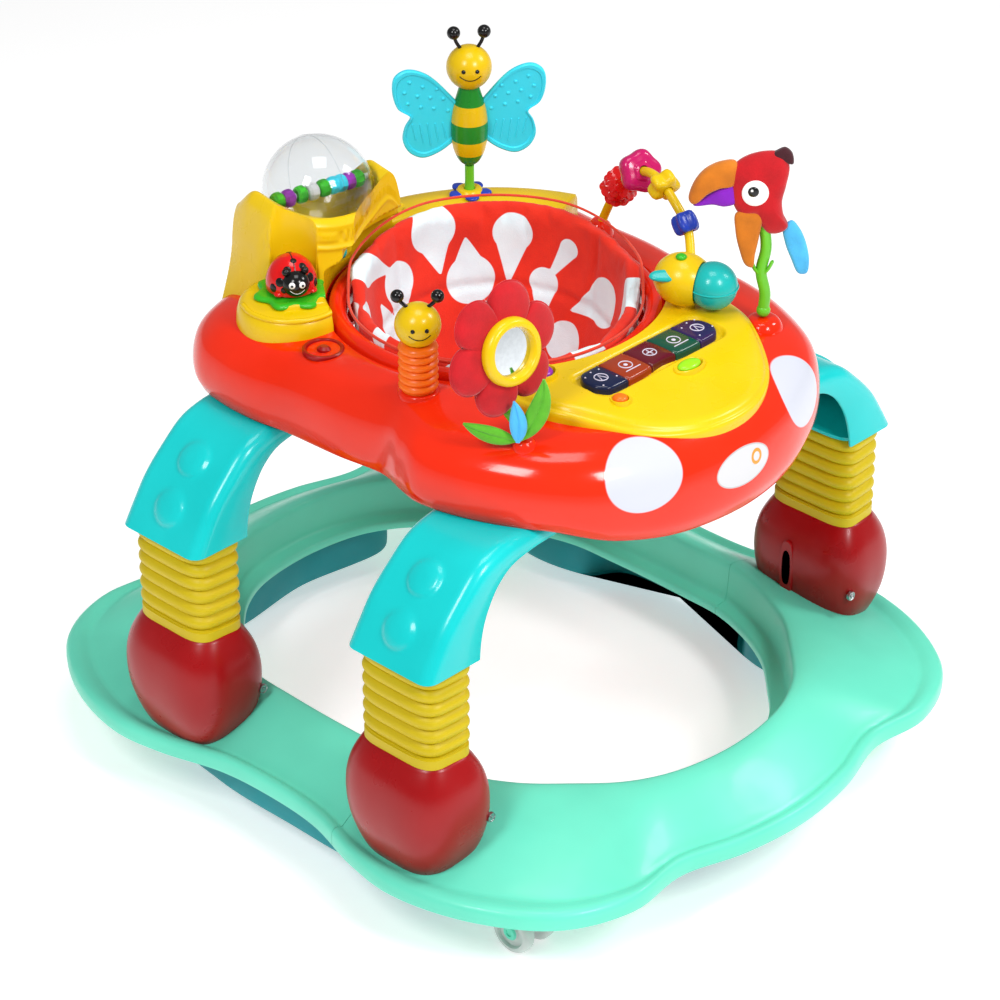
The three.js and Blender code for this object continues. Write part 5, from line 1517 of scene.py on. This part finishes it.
# %% [markdown]
# ## Music panel
# A yellow shield with five music keys and three buttons. Its top is flat round the keys and
# falls away towards the front. A slab could be cut to the outline and bent, but here the
# outline is shrunk row by row, and each row's height is read from that slope, so the top stays
# smooth. A shallow recess round the keys leaves them room to be pressed.
# %% Panel
PANEL_HALF = [(0, -275), (40, -268), (77, -246), (105, -212), (124, -176), (131, -142),
              (123, -112), (104, -94), (60, -100), (0, -120)]
panel_loop = through(PANEL_HALF + [(-x, y) for x, y in PANEL_HALF[-2:0:-1]], 240)
PANEL_MIDDLE = np.array([0, -176])


def panel_top(y):
    """Height of the panel's top over a y."""
    return 456 - 17 * smoothstep((-np.asarray(y) - 175) / 95)


inward = [*((share, 0) for share in np.linspace(0.02, 0.88, 60)), (0.9, -0.3),
          (0.935, -1.2), (0.955, -3.2), (0.962, -5), (0.975, -5.6), (0.99, -6.2), (0.999, -8),
          (1, -11), (1, -30)]
rows = []
for share, drop in inward:
    flat = PANEL_MIDDLE + (panel_loop - PANEL_MIDDLE) * share
    over = np.hypot(np.maximum(np.abs(flat[:, 0]) - 70, 0),
                    np.maximum(np.abs(flat[:, 1] + 174.5) - 10, 0))
    recess = -5 * smoothstep((13.5 - over) / 4.5)
    rows.append(np.stack([flat[:, 0], flat[:, 1], panel_top(flat[:, 1]) + drop + recess], -1))
panel = kept_clear(skin(np.array(rows)))
piece("panel_shield", panel, "tray", YELLOW, ["music_panel"], sharp=60)


def well(x, y, r, wide, height):
    """A raised collar on the panel round a button: an ellipse r wide by r."""
    z = panel_top(y)
    return plate(circle(r, turn=FULL_TURN[::3])[:, :2] * (wide, 1),
                 [(0.02, -9), (1.34, -9), (1.3, height * 0.5), (1.22, height), (1.12, height),
                  (1.06, height * 0.6), (1.04, -7), (0.02, -7)], np.eye(3), (x, y, z))


collars = [well(-92, -134, 10, 1.15, 4.4), well(-72, -206, 7, 1, 2.4), well(14, -208, 8, 1.7, 2)]
piece("panel_collars", collars, "tray", YELLOW)
print("panel")

# %% Keys
KEY_Y = -175
KEYS = {"navy": ((14, 24, 60), -62), "orange": ((150, 50, 14), -31), "maroon": ((92, 6, 26), 0),
        "green": ((8, 74, 54), 31), "violet": ((44, 22, 78), 62)}


def key_depth(x):
    """Front and back edge of the strip of keys over an x: a lens pinched at its middle."""
    swell = 1 - (np.asarray(x) / 82) ** 4
    return -16.5 - 1.5 * swell + 3.2 * np.exp(-(np.asarray(x) / 18) ** 2), 17.5 + 1.2 * swell


key_ink = plastic("key_ink", (214, 208, 226), 0.35)
for colour, (dye, x0) in KEYS.items():
    finish = plastic(f"key_{colour}", dye, 0.22)
    across = np.linspace(-15, 15, 13)
    low, high = key_depth(x0 + across)
    outward = across * np.sign(x0)
    squeeze = 1 - 0.62 * np.clip((outward - 2) / 13, 0, 1) ** 2.4 * (abs(x0) > 60)
    low, high = low * squeeze, high * squeeze
    outline = np.vstack([np.stack([across, low], -1), np.stack([across[::-1], high[::-1]], -1)])
    body = plate(through(outline, 100), [(0.02, 0.4), (0.5, 0.4), (0.8, 0.1), (0.93, -0.5),
                                         (0.985, -1.8), (1, -3.4), (1, -10), (0.02, -10)],
                 np.eye(3), (x0, KEY_Y, 457.5))
    piece(f"key_cap_{colour}", body, f"key_{colour}", finish, [f"key_{colour}"])
    at = np.array([x0, KEY_Y, 458.0])
    icon = [tube(circle(6, at, FULL_TURN[::6]), 0.5, 6, ring=True)]
    if colour in ("navy", "violet"):
        icon += [ball(at + (dx, dy, 0), (0.9, 0.9, 0.5), count=10)
                 for dx, dy in ((-10, 9), (9, 11), (11, -8), (-9, -11), (0, 12))]
        icon += [tube([at + (-3, -4, 0), at + (0, 4, 0), at + (3, -4, 0)], 0.5, 6)]
    elif colour == "maroon":
        icon += [tube([at + (-4, 0, 0), at + (4, 0, 0)], 0.5, 6),
                 tube([at + (0, -4, 0), at + (0, 4, 0)], 0.5, 6)]
    else:
        icon += [tube([at + (-9, -9, 0), at + (9, -9, 0)], 0.5, 6),
                 ball(at, (2, 2, 0.6), count=16)]
    piece(f"key_icon_{colour}", icon, f"key_{colour}", key_ink)
print("keys", list(KEYS))

# %% Buttons
bug_z = panel_top(-134)
bug = [ball((-92, -134, bug_z + 3.2), (10.4, 9.4, 4.2), count=40)]
piece("button_cap_purple", bug, "button_purple", PURPLE, ["button_purple"])
piece("button_bug_eyes", [ball((-92 + dx, -137, bug_z + 7), (1.6, 1.6, 0.9), count=14)
                          for dx in (-3.4, 3.4)], "button_purple", WHITE)
orange_z, lime_z = panel_top(-206), panel_top(-208)
piece("button_cap_orange", ball((-72, -206, orange_z + 1.6), (6.6, 6.6, 3.8), count=32),
      "button_orange", ORANGE, ["button_orange"])
piece("button_cap_lime", ball((14, -208, lime_z + 1.4), (12.6, 7.4, 3.6), count=40),
      "button_lime", LIME, ["button_lime"])
print("buttons")

# %% [markdown]
# ## Bead arc and plane
# A yellow tube loops from a red collar to the plane's tail and carries five beads. A curve with
# a round bevel would do for the tube, but the beads need its direction too, so both come from
# the same list of points. Each bead is a turned shape with waves round its rim. The plane is a
# turned cowl with a round socket, and a ball turns in it.
# %% Arc and beads
ARC = through([(161, 30, 430), (161, 29, 448), (163, 24, 466), (158, 2, 502), (145, -32, 532),
               (134, -62, 540), (125, -92, 528), (122, -110, 510), (108, -127, 491)], 120,
              closed=False)
collar = turned([(0.1, 408), (16, 408), (16, 416), (15.2, 430), (13.6, 444), (10.6, 453),
                 (6.4, 457.4), (0.1, 458)], 56, (161, 30, 0))
piece("arc_tube", tube(ARC, 4.2, 24), "tray", YELLOW, ["bead_arc"])
piece("arc_collar", collar, "tray", RED)


BEAD_HOLE = 4.9


def lobed(at, direction, radius, depth, waves, half, swirl=0.0):
    """A bead with waves round its rim: r = radius + depth cos(waves a + swirl z)."""
    axes = axes_along(direction)
    turn = np.radians(np.arange(0, 360, 3))
    rows = []
    for z, share in ((-half, 0), (-half, 0.72), (-half * 0.82, 0.9), (-half * 0.45, 0.985),
                     (0, 1), (half * 0.45, 0.985), (half * 0.82, 0.9), (half, 0.72), (half, 0)):
        outer = radius * share + depth * share * np.cos(waves * turn + swirl * z)
        r = np.maximum(outer, BEAD_HOLE)
        rows.append(np.stack([r * np.cos(turn), r * np.sin(turn), np.full(len(turn), z)], -1))
    return skin(np.array(rows) @ axes + np.asarray(at), ends=False, ring=True)


red_at, red_way = (158.11, 2.34, 501.59), np.array([-.197091, -.625464, .754951])
magenta_at, magenta_way = (144.80, -32.52, 532.28), np.array([-.313882, -.838665, .445105])
reds = [lobed(np.array(red_at) + red_way * s, red_way, 14.6, 2.6, 4, 6.8, swirl=0.1 * s)
        for s in (-7, 7)]
piece("arc_bead_red", reds, "bead_red", LADYBIRD_RED, ["bead_red"])
piece("arc_bead_magenta", [lobed(magenta_at, magenta_way, 19.2, 1.3, 5, 7.8),
                           lobed(magenta_at, magenta_way, 11, 0.6, 5, 9.4)], "bead_magenta",
      MAGENTA, ["bead_magenta"])


def on_arc(share):
    """Place and direction along the arc at a share of its length."""
    index = int(share * (len(ARC) - 2))
    way = ARC[index + 1] - ARC[index]
    return ARC[index], way / np.linalg.norm(way)


for name, share, size, dye, record_slot in (
        ("green", 0.455, (9.6, 1.6, 3, 5), GREEN, "green_plastic"),
        ("yellow", 0.68, (13, 2.2, 5, 8), YELLOW, "yellow_plastic"),
        ("blue", 0.86, (10.6, 1.8, 5, 9), BLUE, "key_navy")):
    at, way = on_arc(share)
    piece(f"arc_bead_{name}", lobed(at, way, *size), "tray", dye)
print("arc and beads")

# %% Plane
plane_at = np.array([90, -138, 481.0])
post = turned([(0.1, 440), (10, 440), (8.4, 448), (8, 470), (0.1, 472)], 40, (90, -138, 0))
piece("plane_post", post, "tray", YELLOW)
ball_at = np.array([99, -161, 480.0])
out = ball_at - plane_at
out = out / np.linalg.norm(out)
plane_axes = axes_along(out)
SOCKET_R, SOCKET_AT, COWL_RIM = 22.6, 24.7, 12.4
back = np.linspace(-29.9, COWL_RIM, 40)
outer = np.stack([24 * np.sqrt(1 - ((back + 3) / 27) ** 2), back], -1)
inner_z = np.linspace(COWL_RIM - 0.2, SOCKET_AT - SOCKET_R + 0.05, 24)
inner = np.stack([np.sqrt(SOCKET_R ** 2 - (inner_z - SOCKET_AT) ** 2), inner_z], -1)
piece("plane_cowl", turned([*outer, *inner], 72, plane_at, plane_axes), "tray", YELLOW,
      ["plane_body"])
piece("plane_turning_ball", ball(ball_at, (21.6, 21.6, 21.6), plane_axes, 64), "plane_ball", AQUA,
      ["plane_ball"])
belt = circle(21.9, ball_at, FULL_TURN[::2])
piece("plane_belt", tube(belt, 0.8, 8, ring=True), "plane_ball", AQUA)
piece("plane_button", ball(plane_at + (-6, 2, 24), (5, 5, 3), count=24), "tray", GREEN)
flap = plate(through([(-12, -4), (12, -4), (16, 0), (12, 5), (-12, 5), (-16, 0)], 50),
             rounded_edge(4, 0.8, 0.4), facing(-46, 60), plane_at + (-22, 4, 10))
piece("plane_flap", flap, "tray", AQUA)
print("plane")
